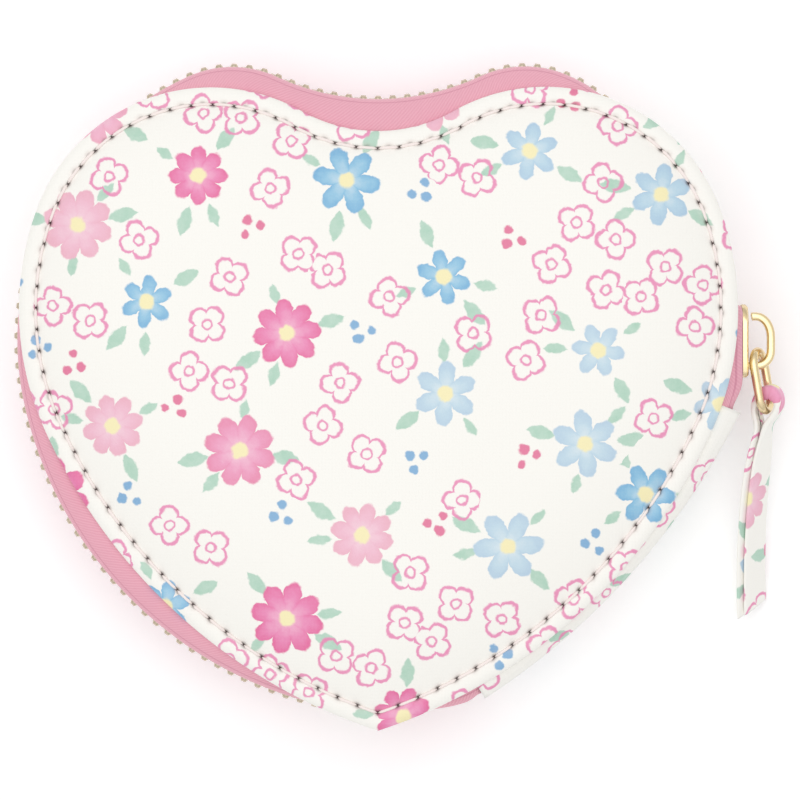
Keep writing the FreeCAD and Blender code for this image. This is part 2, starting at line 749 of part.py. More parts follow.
def pull_tab():
    body = new_body("pull_tab")
    layer = size("tab_layer")
    length = size("tab_length")
    bore = size("link_wire") / 2 + size("loop_clearance")
    rim = bore + layer
    slack = size("loop_slack")
    sketch = new_sketch(body, "loop_outline", "XY_Plane", "0")
    top = Vector(0, slack, 0)
    add_arc(sketch, top, rim, 0, math.pi)
    sketch.addGeometry(Part.LineSegment(Vector(-rim, slack, 0), Vector(-rim, -bore, 0)), False)
    sketch.addGeometry(Part.LineSegment(Vector(-rim, -bore, 0), Vector(-layer, -2 * rim, 0)), False)
    sketch.addGeometry(Part.LineSegment(Vector(-layer, -2 * rim, 0), Vector(layer, -2 * rim, 0)), False)
    sketch.addGeometry(Part.LineSegment(Vector(layer, -2 * rim, 0), Vector(rim, -bore, 0)), False)
    sketch.addGeometry(Part.LineSegment(Vector(rim, -bore, 0), Vector(rim, slack, 0)), False)
    add_arc(sketch, top, bore, 0, math.pi)
    add_arc(sketch, Vector(0, 0, 0), bore, math.pi, 2 * math.pi)
    sketch.addGeometry(Part.LineSegment(Vector(-bore, slack, 0), Vector(-bore, 0, 0)), False)
    sketch.addGeometry(Part.LineSegment(Vector(bore, slack, 0), Vector(bore, 0, 0)), False)
    pad(body, "loop", sketch, "Sizes.tab_neck", midplane=True)
    half = size("tab_width") / 2
    neck = size("tab_neck") / 2
    slant = size("tab_slant") / 2
    start = -bore - layer
    strip = [(start, -neck), (start, neck), (-size("tab_flare"), half), (slant - length, half),
             (-slant - length, -half), (-size("tab_flare"), -half)]
    sketch = polygon_sketch(body, "strip_outline", "YZ_Plane", strip)
    pad(body, "strip", sketch, "2 * Sizes.tab_layer", midplane=True)
    body.Placement = tab_place()
    return body


front = [front_panel(), front_padding(), front_lining(), front_zip_tape(), front_topstitch()]
nodes += front
for piece in front:
    nodes.append(mirror_to_back(piece, piece.Label.replace("front", "back")))
nodes += [hinge_gusset(), hinge_gusset_lining()]
nodes += [zip_teeth("front_zip_teeth", True), zip_teeth("back_zip_teeth", False)]
nodes += [top_stop("front_top_stop", True), top_stop("back_top_stop", False), bottom_stop()]
nodes.append(slider_body())
link = feature_from("pull_link", link_solid())
link.Placement = link_place()
nodes.append(link)
nodes.append(pull_tab())
doc.recompute()

for item in doc.Objects:
    if any(state in ("Invalid", "Error") for state in item.State):
        raise RuntimeError(f"{item.Label} failed: {item.State}")
for node in nodes:
    if node.Shape.isNull() or not node.Shape.isValid():
        raise RuntimeError(f"{node.Label} has no valid shape")

os.makedirs("parts", exist_ok=True)
for node in nodes:
    node.Shape.exportStep(f"parts/{node.Label}.step")
    box = node.Shape.BoundBox
    print(f"{node.Label:22s} solids {len(node.Shape.Solids):3d}  volume {node.Shape.Volume:9.2f}  "
          f"x {box.XMin:7.2f} {box.XMax:7.2f}  y {box.YMin:7.2f} {box.YMax:7.2f}  z {box.ZMin:6.2f} {box.ZMax:6.2f}")
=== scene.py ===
import math

import bmesh
import bpy
import numpy as np
from mathutils import Matrix, Vector
from mathutils.kdtree import KDTree


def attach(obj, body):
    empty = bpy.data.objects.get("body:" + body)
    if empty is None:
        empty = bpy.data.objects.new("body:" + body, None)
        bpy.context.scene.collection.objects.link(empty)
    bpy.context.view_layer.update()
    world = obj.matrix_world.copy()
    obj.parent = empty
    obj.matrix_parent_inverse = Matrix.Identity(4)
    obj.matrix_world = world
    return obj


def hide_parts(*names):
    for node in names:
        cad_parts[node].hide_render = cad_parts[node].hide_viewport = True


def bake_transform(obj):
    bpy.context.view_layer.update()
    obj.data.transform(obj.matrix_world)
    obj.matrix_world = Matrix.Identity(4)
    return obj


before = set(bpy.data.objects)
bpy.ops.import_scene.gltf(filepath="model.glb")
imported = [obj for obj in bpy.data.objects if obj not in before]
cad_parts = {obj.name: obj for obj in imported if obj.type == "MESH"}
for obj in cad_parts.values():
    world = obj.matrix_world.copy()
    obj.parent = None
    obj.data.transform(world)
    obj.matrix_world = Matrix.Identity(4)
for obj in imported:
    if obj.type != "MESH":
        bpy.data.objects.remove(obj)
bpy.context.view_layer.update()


# Panels
# The front and back are hearts of coated printed cotton, each drawn over a thin foam.
# The edge is turned under, and a row of stitching pulls a groove a little way inside it.

MM = 0.001
MID_DEPTH = 10.0
PANEL_LOBE = np.array([25.6, 20.5])
PANEL_LOBE_RADIUS = 28.5
PANEL_NOTCH_RADIUS = 23.75
PANEL_SIDE_ANGLE = math.radians(20.0)
PANEL_SIDE_RADIUS = 44.8
PANEL_LOWER_ANGLE = math.radians(-23.8)
PANEL_LOWER_RADIUS = 85.0
OUTLINE_STEP = 0.26
STITCH_INSET = 2.7
STITCH_PITCH = 3.3
FLIP = np.array([-1.0, 1.0])


def spoke(angle):
    """Unit vectors in the heart's plane at one angle or an array of them."""
    return np.stack([np.cos(angle), np.sin(angle)], axis=-1)


def notch_circle(lobe, lobe_radius, notch_radius):
    """Centre of the circle in the notch, and the lobe's angle where the two touch."""
    rise = math.sqrt((notch_radius + lobe_radius) ** 2 - lobe[0] ** 2)
    return np.array([0.0, lobe[1] + rise]), math.atan2(rise, -lobe[0])


PANEL_SIDE = PANEL_LOBE + spoke(PANEL_SIDE_ANGLE) * (PANEL_LOBE_RADIUS - PANEL_SIDE_RADIUS)
PANEL_LOWER = PANEL_SIDE + spoke(PANEL_LOWER_ANGLE) * (PANEL_SIDE_RADIUS - PANEL_LOWER_RADIUS)


def panel_ring(inset):
    """Points round the panel's outline moved inwards, anticlockwise from the tip."""
    notch, touch = notch_circle(PANEL_LOBE, PANEL_LOBE_RADIUS, PANEL_NOTCH_RADIUS)

    def tip_angle(moved):
        return -math.acos(-PANEL_LOWER[0] / (PANEL_LOWER_RADIUS - moved))

    arcs = [
        (PANEL_LOWER, PANEL_LOWER_RADIUS, -1, tip_angle(inset), PANEL_LOWER_ANGLE),
        (PANEL_SIDE, PANEL_SIDE_RADIUS, -1, PANEL_LOWER_ANGLE, PANEL_SIDE_ANGLE),
        (PANEL_LOBE, PANEL_LOBE_RADIUS, -1, PANEL_SIDE_ANGLE, touch),
        (notch, PANEL_NOTCH_RADIUS, 1, touch + math.pi, 1.5 * math.pi),
    ]
    right = []
    for centre, radius, bend, start, end in arcs:
        whole_start = tip_angle(0) if centre is PANEL_LOWER else start
        count = round(radius * abs(end - whole_start) / OUTLINE_STEP)
        angles = start + (end - start) * np.arange(count) / count
        right.append(centre + spoke(angles) * (radius + bend * inset))
    right.append(np.array([[0.0, notch[1] - PANEL_NOTCH_RADIUS - inset]]))
    right = np.concatenate(right)
    right[0, 0] = 0.0
    return np.concatenate([right, right[::-1][1:-1] * FLIP])


def travel(line):
    """Distance along a line at each of its points."""
    steps = np.linalg.norm(np.diff(np.asarray(line, float), axis=0), axis=1)
    return np.concatenate([[0.0], np.cumsum(steps)])


def level(flat, height):
    """Flat points set at one height over the mid plane, or at one for each."""
    return np.column_stack([flat, np.full(len(flat), MID_DEPTH + height)])


def shade_smooth(mesh):
    mesh.polygons.foreach_set("use_smooth", np.ones(len(mesh.polygons), bool))


def new_piece(name, points, faces, material):
    """A mesh object at the origin from points in millimetres, smooth shaded."""
    mesh = bpy.data.meshes.new(name)
    mesh.from_pydata((np.asarray(points) * MM).tolist(), [], faces)
    mesh.materials.append(material)
    shade_smooth(mesh)
    mesh.update()
    piece = bpy.data.objects.new(name, mesh)
    bpy.context.scene.collection.objects.link(piece)
    return piece


def declare(piece, body, node):
    """Says which body a piece rides and which plain solid it stands for."""
    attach(piece, body)
    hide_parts(node)


def quads(rows, size, around=True, looped=False):
    """Faces between rows of points: a row is a ring or an open line, and the rows may close on themselves."""
    faces = []
    for row in range(rows if looped else rows - 1):
        base = row * size
        above = (row + 1) % rows * size
        for index in range(size if around else size - 1):
            after = (index + 1) % size
            faces.append((base + index, base + after, above + after, above + index))
    return faces


def ring_faces(rings, size):
    """Faces between rings of one size that are closed by a single first and last point."""
    last = 1 + (rings - 1) * size
    faces = [(0, 1 + (index + 1) % size, 1 + index) for index in range(size)]
    faces += [tuple(1 + corner for corner in face) for face in quads(rings, size)]
    return faces + [(last + index, last + (index + 1) % size, last + size) for index in range(size)]


def fill(tree, node, inputs):
    """Sets a node's inputs, by name or number, to values or to other nodes' sockets."""
    for key, value in inputs.items():
        if isinstance(value, bpy.types.NodeSocket):
            tree.links.new(value, node.inputs[key])
        else:
            node.inputs[key].default_value = value
    return node


def add_node(tree, kind, inputs=None, **settings):
    """Adds a node with its settings and inputs."""
    node = tree.nodes.new(kind)
    for key, value in settings.items():
        setattr(node, key, value)
    return fill(tree, node, inputs or {})


def calc(tree, operation, first, second=0.0, third=0.0, clamp=False):
    """One step of arithmetic in a node tree."""
    inputs = {0: first, 1: second, 2: third}
    return add_node(tree, "ShaderNodeMath", inputs, operation=operation, use_clamp=clamp).outputs[0]


def vector_calc(tree, operation, *inputs):
    """One step of arithmetic with vectors; a length or a distance is a number."""
    node = add_node(tree, "ShaderNodeVectorMath", dict(enumerate(inputs)), operation=operation)
    return node.outputs["Value" if operation in ("LENGTH", "DISTANCE") else "Vector"]


def soft_step(tree, value, low, high):
    """Goes smoothly from 0 to 1 as a value goes from low to high."""
    inputs = {0: value, 1: low, 2: high}
    return add_node(tree, "ShaderNodeMapRange", inputs, interpolation_type="SMOOTHSTEP").outputs[0]


def under(tree, limit, value, softness):
    """Goes from 0 to 1 as a value falls below a limit."""
    return soft_step(tree, calc(tree, "SUBTRACT", limit, value), 0.0, softness)


def gap(tree, first, second):
    return calc(tree, "ABSOLUTE", calc(tree, "SUBTRACT", first, second))


def lay_over(tree, share, below, above):
    """Colour laid over another by a share from 0 to 1."""
    return add_node(tree, "ShaderNodeMix", {0: share, 6: below, 7: above}, data_type="RGBA").outputs[2]


def noise(tree, place, scale, detail, roughness=0.5):
    inputs = {"Vector": place, "Scale": scale, "Detail": detail, "Roughness": roughness}
    return add_node(tree, "ShaderNodeTexNoise", inputs).outputs


def weave(tree, place, scale, waviness):
    """Height of a plain weave from 0 to 1."""
    threads = []
    for direction in "XY":
        inputs = {"Vector": place, "Scale": scale, "Distortion": waviness}
        wave = add_node(tree, "ShaderNodeTexWave", inputs, bands_direction=direction)
        threads.append(wave.outputs["Fac"])
    return calc(tree, "MULTIPLY", *threads)


def relief(tree, height, strength, depth):
    """Normal of a fine relief, from a height between 0 and 1 and a depth in millimetres."""
    inputs = {"Strength": strength, "Distance": depth * MM, "Height": height}
    return add_node(tree, "ShaderNodeBump", inputs).outputs[0]


def screen_colour(red, green, blue):
    """A colour given as it looks on a screen, from 0 to 255, as Blender's own linear values."""
    return (*(((value / 255 + 0.055) / 1.055) ** 2.4 for value in (red, green, blue)), 1.0)


def new_material(name, coordinates):
    """A material, its tree and shader, and the place on the piece in millimetres."""
    material = bpy.data.materials.new(name)
    material.use_nodes = True
    tree = material.node_tree
    source = add_node(tree, "ShaderNodeTexCoord").outputs[coordinates]
    return material, tree, tree.nodes["Principled BSDF"], vector_calc(tree, "MULTIPLY", source, (1 / MM,) * 3)


# The print is a ditsy floral in watercolour: scattered flower heads with leaves on one loose grid,
# and small outlined blossoms and berries on a finer grid in the room between them.

CLOTH_GROUND = screen_colour(252, 250, 244)
FLOWER_EYE = screen_colour(250, 240, 190)
PINKS = [screen_colour(248, 196, 218), screen_colour(238, 140, 186), screen_colour(226, 74, 138)]
BLUES = [screen_colour(206, 228, 240), screen_colour(150, 200, 228), screen_colour(92, 162, 212)]
LEAF_TONES = (screen_colour(206, 228, 214), screen_colour(158, 204, 180))
BLOSSOM_LINE = screen_colour(236, 132, 182)
PRINT_TURN = 0.42
EDGE_WOBBLE = 0.9
FLOWER_GRID = (21.0, 0.5)
FLOWER_LEAST = 4.6
FLOWER_GROWTH = 1.7
FLOWER_EYE_RADIUS = 1.45
# Each leaf as (angle, start, length, half width), and each berry as (x, y, radius)
LEAVES = [(0.5, 4.6, 5.2, 1.25), (1.15, 4.4, 4.2, 1.0), (3.3, 4.6, 4.8, 1.2), (4.9, 4.4, 3.6, 0.9)]
BERRIES = [(1.3, 0.6, 0.95), (-0.9, 1.3, 0.8), (0.1, -1.2, 0.85)]
SMALL_GRID = (7.5, 0.42)
FLOWER_ROOM = 8.3
BLOSSOM_RADIUS = 2.9
BLOSSOM_LINE_WIDTH = 0.42
BLOSSOM_EYE = (0.75, 0.3)
BLOSSOM_CHANCE = 0.78


def turned(tree, vector, angle):
    inputs = {"Vector": vector, "Angle": angle}
    return add_node(tree, "ShaderNodeVectorRotate", inputs, rotation_type="Z_AXIS").outputs[0]


def scatter(tree, place, spacing, looseness):
    """Nearest middle of a loose grid, the way from it, and three random numbers for it."""
    inputs = {"Vector": place, "Scale": 1 / spacing, "Randomness": looseness}
    cell = add_node(tree, "ShaderNodeTexVoronoi", inputs, voronoi_dimensions="2D", feature="F1").outputs
    chance = add_node(tree, "ShaderNodeSeparateColor", {0: cell["Color"]}).outputs
    return cell["Position"], vector_calc(tree, "SUBTRACT", place, cell["Position"]), chance


def spun(tree, way, chance):
    """A motif's own place, turned by chance, with its length and angle."""
    own = turned(tree, way, calc(tree, "MULTIPLY", chance, 2 * math.pi))
    parts = add_node(tree, "ShaderNodeSeparateXYZ", {0: own}).outputs
    return own, vector_calc(tree, "LENGTH", own), calc(tree, "ARCTAN2", parts["Y"], parts["X"])


def petal_edge(tree, angle, petals, inner, sharpness):
    """Reach of a flower's petals at an angle, as a share of their full length."""
    wave = calc(tree, "COSINE", calc(tree, "MULTIPLY", angle, petals / 2))
    lobe = calc(tree, "POWER", calc(tree, "ABSOLUTE", wave), sharpness)
    return calc(tree, "MULTIPLY_ADD", lobe, 1 - inner, inner)


def leaf(tree, way, angle, start, length, width):
    """Share covered by one pointed leaf that grows out at an angle from the flower's middle."""
    parts = add_node(tree, "ShaderNodeSeparateXYZ", {0: turned(tree, way, -angle)}).outputs
    along = calc(tree, "DIVIDE", calc(tree, "SUBTRACT", parts["X"], start + length / 2), length / 2)
    bulge = calc(tree, "SUBTRACT", 1.0, calc(tree, "MULTIPLY", along, along))
    return under(tree, calc(tree, "MULTIPLY", bulge, width), calc(tree, "ABSOLUTE", parts["Y"]), 0.35)


def strongest(tree, shares):
    total = shares[0]
    for share in shares[1:]:
        total = calc(tree, "MAXIMUM", total, share)
    return total


def flower_head(tree, colour, wash, length, reach, chosen, paleness, tones):
    """Lays one kind of petalled flower over the colour so far."""
    washed = calc(tree, "MULTIPLY", wash, 0.5)
    depth = calc(tree, "MULTIPLY_ADD", calc(tree, "DIVIDE", length, reach), 0.75, washed)
    ramp = add_node(tree, "ShaderNodeValToRGB", {"Fac": calc(tree, "SUBTRACT", depth, 0.2)})
    stops = ramp.color_ramp.elements
    stops[0].color, stops[1].color = tones[0], tones[2]
    stops.new(0.5).color = tones[1]
    tone = lay_over(tree, paleness, ramp.outputs[0], CLOTH_GROUND)
    return lay_over(tree, calc(tree, "MULTIPLY", under(tree, reach, length, 0.4), chosen), colour, tone)


def printed_pattern():
    """Group that gives the print's colour at a place in millimetres."""
    tree = bpy.data.node_groups.new("ditsy_print", "ShaderNodeTree")
    tree.interface.new_socket("Place", in_out="INPUT", socket_type="NodeSocketVector")
    tree.interface.new_socket("Color", in_out="OUTPUT", socket_type="NodeSocketColor")
    straight = turned(tree, tree.nodes.new("NodeGroupInput").outputs[0], PRINT_TURN)
    wobble = noise(tree, straight, 0.9, 3.0)["Color"]
    place = vector_calc(tree, "MULTIPLY_ADD", wobble, (EDGE_WOBBLE, EDGE_WOBBLE, 0.0), straight)
    place = vector_calc(tree, "MULTIPLY", place, (1.0, 1.0, 0.0))
    wash = noise(tree, place, 0.55, 4.0, 0.65)["Fac"]

    # Flower heads with their leaves
    way, chance = scatter(tree, place, *FLOWER_GRID)[1:]
    own, length, angle = spun(tree, way, chance["Red"])
    size = calc(tree, "MULTIPLY_ADD", chance["Green"], FLOWER_GROWTH, FLOWER_LEAST)
    greens = strongest(tree, [leaf(tree, own, *numbers) for numbers in LEAVES])
    colour = lay_over(tree, greens, CLOTH_GROUND, lay_over(tree, wash, *LEAF_TONES))
    is_blue = soft_step(tree, chance["Blue"], 0.6, 0.62)
    is_pink = calc(tree, "SUBTRACT", 1.0, is_blue)
    paleness = calc(tree, "MULTIPLY", soft_step(tree, chance["Red"], 0.4, 0.6), 0.38)
    daisy = calc(tree, "MULTIPLY", petal_edge(tree, angle, 8, 0.62, 0.55), size)
    star = calc(tree, "MULTIPLY", petal_edge(tree, angle, 6, 0.45, 0.8), calc(tree, "MULTIPLY", size, 0.9))
    colour = flower_head(tree, colour, wash, length, daisy, is_pink, paleness, PINKS)
    colour = flower_head(tree, colour, wash, length, star, is_blue, paleness, BLUES)
    colour = lay_over(tree, under(tree, FLOWER_EYE_RADIUS, length, 0.5), colour, FLOWER_EYE)

    # Small outlined blossoms and berries where no flower head is near
    middle, way, chance = scatter(tree, place, *SMALL_GRID)
    away = vector_calc(tree, "LENGTH", scatter(tree, middle, *FLOWER_GRID)[1])
    roomy = soft_step(tree, away, FLOWER_ROOM, FLOWER_ROOM + 0.1)
    own, length, angle = spun(tree, way, chance["Red"])
    edge = calc(tree, "MULTIPLY", petal_edge(tree, angle, 4, 0.6, 0.7), BLOSSOM_RADIUS)
    line = under(tree, BLOSSOM_LINE_WIDTH, gap(tree, length, edge), 0.3)
    eye = under(tree, BLOSSOM_EYE[1], gap(tree, length, BLOSSOM_EYE[0]), 0.25)
    is_blossom = under(tree, BLOSSOM_CHANCE, chance["Green"], 0.01)
    blossom = calc(tree, "MULTIPLY", strongest(tree, [line, eye]), calc(tree, "MULTIPLY", is_blossom, roomy))
    colour = lay_over(tree, calc(tree, "MULTIPLY", blossom, 0.9), colour, BLOSSOM_LINE)
    dots = [under(tree, radius, vector_calc(tree, "DISTANCE", own, (x, y, 0.0)), 0.3)
            for x, y, radius in BERRIES]
    is_berry = calc(tree, "MULTIPLY", calc(tree, "SUBTRACT", 1.0, is_blossom), roomy)
    berries = calc(tree, "MULTIPLY", strongest(tree, dots), is_berry)
    berry_tone = lay_over(tree, soft_step(tree, chance["Blue"], 0.49, 0.51), PINKS[2], BLUES[2])
    colour = lay_over(tree, calc(tree, "MULTIPLY", berries, 0.85), colour, berry_tone)
    fill(tree, tree.nodes.new("NodeGroupOutput"), {0: colour})
    return tree


PRINT = printed_pattern()
THIN_INK = screen_colour(246, 240, 232)
# Painted shade, pinkish, for the groove that the seam pulls in the cloth
PAINTED_SEAM_SHADE = screen_colour(248, 222, 220)
# Painted shade for the inside of the needle holes
PAINTED_HOLE_SHADE = screen_colour(70, 48, 46)


def printed_cloth(name, coordinates):
    """Coated cotton canvas with the print, on Object coordinates or on the piece's own UV map, with painted
    shade in the seam's groove and in the needle holes.
    """
    material, tree, shader, place = new_material(name, coordinates)
    canvas = weave(tree, place, 0.62, 0.6)
    holes, pull = (add_node(tree, "ShaderNodeAttribute", attribute_name=value).outputs["Fac"]
                   for value in ("needle_hole", "seam_pull"))
    colour = add_node(tree, "ShaderNodeGroup", {0: place}, node_tree=PRINT).outputs[0]
    colour = lay_over(tree, calc(tree, "MULTIPLY", canvas, 0.04), colour, THIN_INK)
    # Painted shade along the seam's groove, as strong as the seam pulls there
    colour = lay_over(tree, calc(tree, "MULTIPLY", pull, 0.22), colour, PAINTED_SEAM_SHADE)
    # Painted shade in the needle holes
    colour = lay_over(tree, holes, colour, PAINTED_HOLE_SHADE)
    rough = calc(tree, "MULTIPLY_ADD", canvas, 0.15, 0.42)
    fill(tree, shader, {"Base Color": colour, "Roughness": rough, "Coat Weight": 0.12, "Coat Roughness": 0.35,
                        "Normal": relief(tree, canvas, 0.25, 0.06)})
    return material


PANEL_CLOTH = printed_cloth("printed_panel_cloth", "Object")

# Section of the panel from under its middle, out round its edge and up over its crown, as
# (inset from the edge, height over the mid plane); past the last inset the rings shrink to the middle.
PANEL_SECTION = [
    (18.0, 5.35), (9.0, 5.35), (1.6, 5.32), (0.5, 5.34), (0.12, 5.5), (0.0, 5.75), (0.03, 6.05), (0.2, 6.32),
    (0.55, 6.55), (1.1, 6.7), (1.7, 6.76), (2.15, 6.74), (2.4, 6.7), (2.6, 6.67), (2.7, 6.66), (2.8, 6.67),
    (3.0, 6.71), (3.3, 6.79), (3.8, 6.95), (4.6, 7.24), (5.8, 7.66), (7.6, 8.2), (10.0, 8.78), (13.0, 9.32),
    (16.0, 9.66), (18.0, 9.8),
]
CROWN_MIDDLE = np.array([[0.0, 4.0]])
CROWN_RINGS = [(0.85, 9.86), (0.68, 9.92), (0.5, 9.96), (0.32, 9.99), (0.16, 10.0)]
EDGE_TOP = 6.0
SEAM_HEIGHT = 6.66
SWELL_INSET = 6.0
GROOVE_DEPTH = 0.2
GROOVE_WIDTH = 0.75
GROOVE_MEAN = 0.55
HOLE_DEPTH = 0.35
HOLE_WIDTH = 0.3
HOLE_LENGTH = 0.42
# How strongly the painted shade in the needle holes is laid on
HOLE_SHADE_STRENGTH = 1.3


def smooth_share(value, low, high):
    """Goes smoothly from 0 to 1 as a number goes from low to high."""
    share = min(1.0, max(0.0, (value - low) / (high - low)))
    return share * share * (3 - 2 * share)


def closed(ring):
    return np.vstack([ring, ring[:1]])


def panel_points(crown_share):
    """Points of the front panel's skin; how far each is pulled by the seam, pierced, and free to swell."""
    columns = ([], [], [], [])

    def add_ring(ring, height, pull=0.0, hole=0.0, free=1.0):
        if height > SEAM_HEIGHT:
            height = SEAM_HEIGHT + (height - SEAM_HEIGHT) * (1 + (crown_share - 1) * free)
        columns[0].append(level(ring, height - GROOVE_DEPTH * pull - HOLE_DEPTH * hole))
        for column, value in zip(columns[1:], (pull, hole, free)):
            column.append(np.full(len(ring), value, float))

    add_ring(CROWN_MIDDLE, PANEL_SECTION[0][1], free=0.0)
    for inset, height in PANEL_SECTION:
        ring = panel_ring(inset)
        run = travel(closed(ring))
        phase = (run[:-1] / run[-1] * round(run[-1] / STITCH_PITCH)) % 1.0
        from_hole = np.minimum(phase, 1 - phase) * STITCH_PITCH
        from_seam = inset - STITCH_INSET
        over = height > EDGE_TOP
        pull = GROOVE_MEAN + (1 - GROOVE_MEAN) * np.cos(2 * math.pi * phase)
        pull *= math.exp(-(from_seam / GROOVE_WIDTH) ** 2) * over
        hole = math.exp(-(from_seam / HOLE_WIDTH) ** 2) * over * np.exp(-(from_hole / HOLE_LENGTH) ** 2)
        add_ring(ring, height, pull, hole, over * smooth_share(inset, STITCH_INSET, SWELL_INSET))
    for share, height in CROWN_RINGS:
        add_ring(CROWN_MIDDLE + (ring - CROWN_MIDDLE) * share, height)
    add_ring(CROWN_MIDDLE, height)
    return [np.concatenate(column) for column in columns]


# The cloth is swollen by a simulation at a cushion's scale, held at the seam, from a lower crown
SIM_SCALE = 5.0
SIM_VOXEL = 0.0065
SIM_FRAMES = 20
SIM_PRESSURE = 4.0
SIM_SLACK = 0.02
SIM_HELD_UNDER = 6.95
SIM_UPPER_FROM = 6.5
SIM_NEIGHBOURS = 6
SIM_BLUR = 0.3
LOW_CROWN = 0.86
FULL_HEIGHT = 10.0


def plain_mesh(piece):
    """Replaces a piece's modifiers by the mesh that they make, smooth shaded."""
    graph = bpy.context.evaluated_depsgraph_get()
    made = bpy.data.meshes.new_from_object(piece.evaluated_get(graph), depsgraph=graph)
    piece.modifiers.clear()
    piece.data = made
    shade_smooth(made)


def mesh_places(mesh):
    places = np.empty(len(mesh.vertices) * 3, np.float32)
    mesh.vertices.foreach_get("co", places)
    return places.reshape(-1, 3).astype(float) / (MM * SIM_SCALE)


def swollen(points, faces, freedom):
    """The skin's points after the cloth has swelled like a stuffed pad, up to the panel's full height."""
    trial = new_piece("panel_trial", points * SIM_SCALE, faces, PANEL_CLOTH)
    even = trial.modifiers.new("even", "REMESH")
    even.mode = "VOXEL"
    even.voxel_size = SIM_VOXEL
    plain_mesh(trial)
    start = mesh_places(trial.data)
    seam = trial.vertex_groups.new(name="seam")
    seam.add(np.where(start[:, 2] < MID_DEPTH + SIM_HELD_UNDER)[0].tolist(), 1.0, "REPLACE")
    cloth = trial.modifiers.new("cloth", "CLOTH")
    cloth.settings.vertex_group_mass = "seam"
    cloth.settings.use_pressure = True
    cloth.settings.uniform_pressure_force = SIM_PRESSURE
    cloth.settings.shrink_min = -SIM_SLACK
    cloth.settings.effector_weights.gravity = 0.0
    cloth.point_cache.frame_start = 1
    cloth.point_cache.frame_end = SIM_FRAMES
    for number in range(1, SIM_FRAMES + 1):
        bpy.context.scene.frame_set(number)
    graph = bpy.context.evaluated_depsgraph_get()
    rise = mesh_places(trial.evaluated_get(graph).data)[:, 2] - start[:, 2]
    bpy.data.objects.remove(trial)
    bpy.context.scene.frame_set(1)
    upper = np.where(start[:, 2] > MID_DEPTH + SIM_UPPER_FROM)[0]
    nearest = KDTree(len(upper))
    for index in upper:
        nearest.insert((*start[index, :2], 0.0), index)
    nearest.balance()
    lifts = np.zeros(len(points))
    for index in np.where(freedom > 0)[0]:
        found = nearest.find_n((*points[index, :2], 0.0), SIM_NEIGHBOURS)
        weights = np.array([1 / (distance + SIM_BLUR) for place, near, distance in found])
        lifts[index] = rise[[near for place, near, distance in found]] @ weights / weights.sum()
    lifts *= freedom
    low_top = points[:, 2].max()
    ease = (MID_DEPTH + FULL_HEIGHT - low_top) / ((points[:, 2] + lifts).max() - low_top)
    raised = points.copy()
    raised[:, 2] += lifts * min(1.0, max(0.0, ease))
    return raised


def to_back(points):
    """The same points mirrored in the mid plane, for the back half."""
    return points * np.array([1.0, 1.0, -1.0]) + np.array([0.0, 0.0, 2 * MID_DEPTH])


def turned_over(faces):
    return [tuple(reversed(face)) for face in faces]


def both_halves(points, faces):
    """Points and faces as they are for the front half, and mirrored for the back."""
    return ("front", points, faces), ("back", to_back(points), turned_over(faces))


skin_faces = ring_faces(len(PANEL_SECTION) + len(CROWN_RINGS), len(panel_ring(0.0)))
skin, seam_pulls, needle_holes, skin_freedom = panel_points(LOW_CROWN)
skin = swollen(skin, skin_faces, skin_freedom)
for half, points, faces in both_halves(skin, skin_faces):
    panel = new_piece(f"{half}_panel_cloth", points, faces, PANEL_CLOTH)
    # The seam's pull and the needle holes are kept on the panel as shares that the cloth uses to paint shade
    hole_shade_share = np.minimum(1.0, needle_holes * HOLE_SHADE_STRENGTH)
    for name, values in (("seam_pull", seam_pulls), ("needle_hole", hole_shade_share)):
        attribute = panel.data.attributes.new(name, "FLOAT", "POINT")
        attribute.data.foreach_set("value", values.astype(np.float32))
    declare(panel, half, f"{half}_panel")


# Padding
# Each panel holds a cut sheet of soft white foam that gives it its crown.
# It is closed in between the cloth and the lining.

FOAM_SECTION = [(12.0, 5.45), (3.6, 5.45), (3.3, 5.7), (3.5, 6.2), (4.6, 6.75), (7.6, 7.7), (12.0, 8.6),
                (18.0, 9.2)]
FOAM_TOP = 9.4
FOAM_SKIP = 6

foam, tree, shader, place = new_material("soft_foam", "Object")
cells = add_node(tree, "ShaderNodeTexVoronoi", {"Vector": place, "Scale": 1.8}).outputs["Distance"]
tone = lay_over(tree, cells, screen_colour(226, 226, 220), screen_colour(246, 246, 242))
fill(tree, shader, {"Base Color": tone, "Roughness": 0.95, "Normal": relief(tree, cells, 0.4, 0.1)})

foam_rings = [level(panel_ring(inset)[::FOAM_SKIP], height) for inset, height in FOAM_SECTION]
foam_under = level(CROWN_MIDDLE, FOAM_SECTION[0][1])
foam_points = np.concatenate([foam_under, *foam_rings, level(CROWN_MIDDLE, FOAM_TOP)])
for half, points, faces in both_halves(foam_points, ring_faces(len(foam_rings), len(foam_rings[0]))):
    padding = new_piece(f"{half}_padding_foam", points, faces, foam)
    declare(padding, half, f"{half}_padding")


# Top stitching
# Pale pink spun thread in a lockstitch round each panel: every stitch lies on the cloth
# and dips into a needle hole at each end, where the next one begins.

STITCH_HEIGHT = 6.74
STITCH_SIZES = {"Length": 3.05, "Width": 0.48, "Height": 0.34}
STITCH_RINGS = 8
STITCH_SIDES = 6
STITCH_SWELL = 0.38
STITCH_END = 0.12
STITCH_DIP = 1.1
STITCH_LOOK = 0.5

thread, tree, shader, place = new_material("pale_pink_thread", "Object")
twist = noise(tree, place, 5.2, 2.0)["Fac"]
tone = lay_over(tree, twist, screen_colour(252, 236, 231), screen_colour(255, 246, 242))
fill(tree, shader, {"Base Color": tone, "Roughness": 0.6, "Sheen Weight": 0.2,
                    "Normal": relief(tree, twist, 0.5, 0.05)})


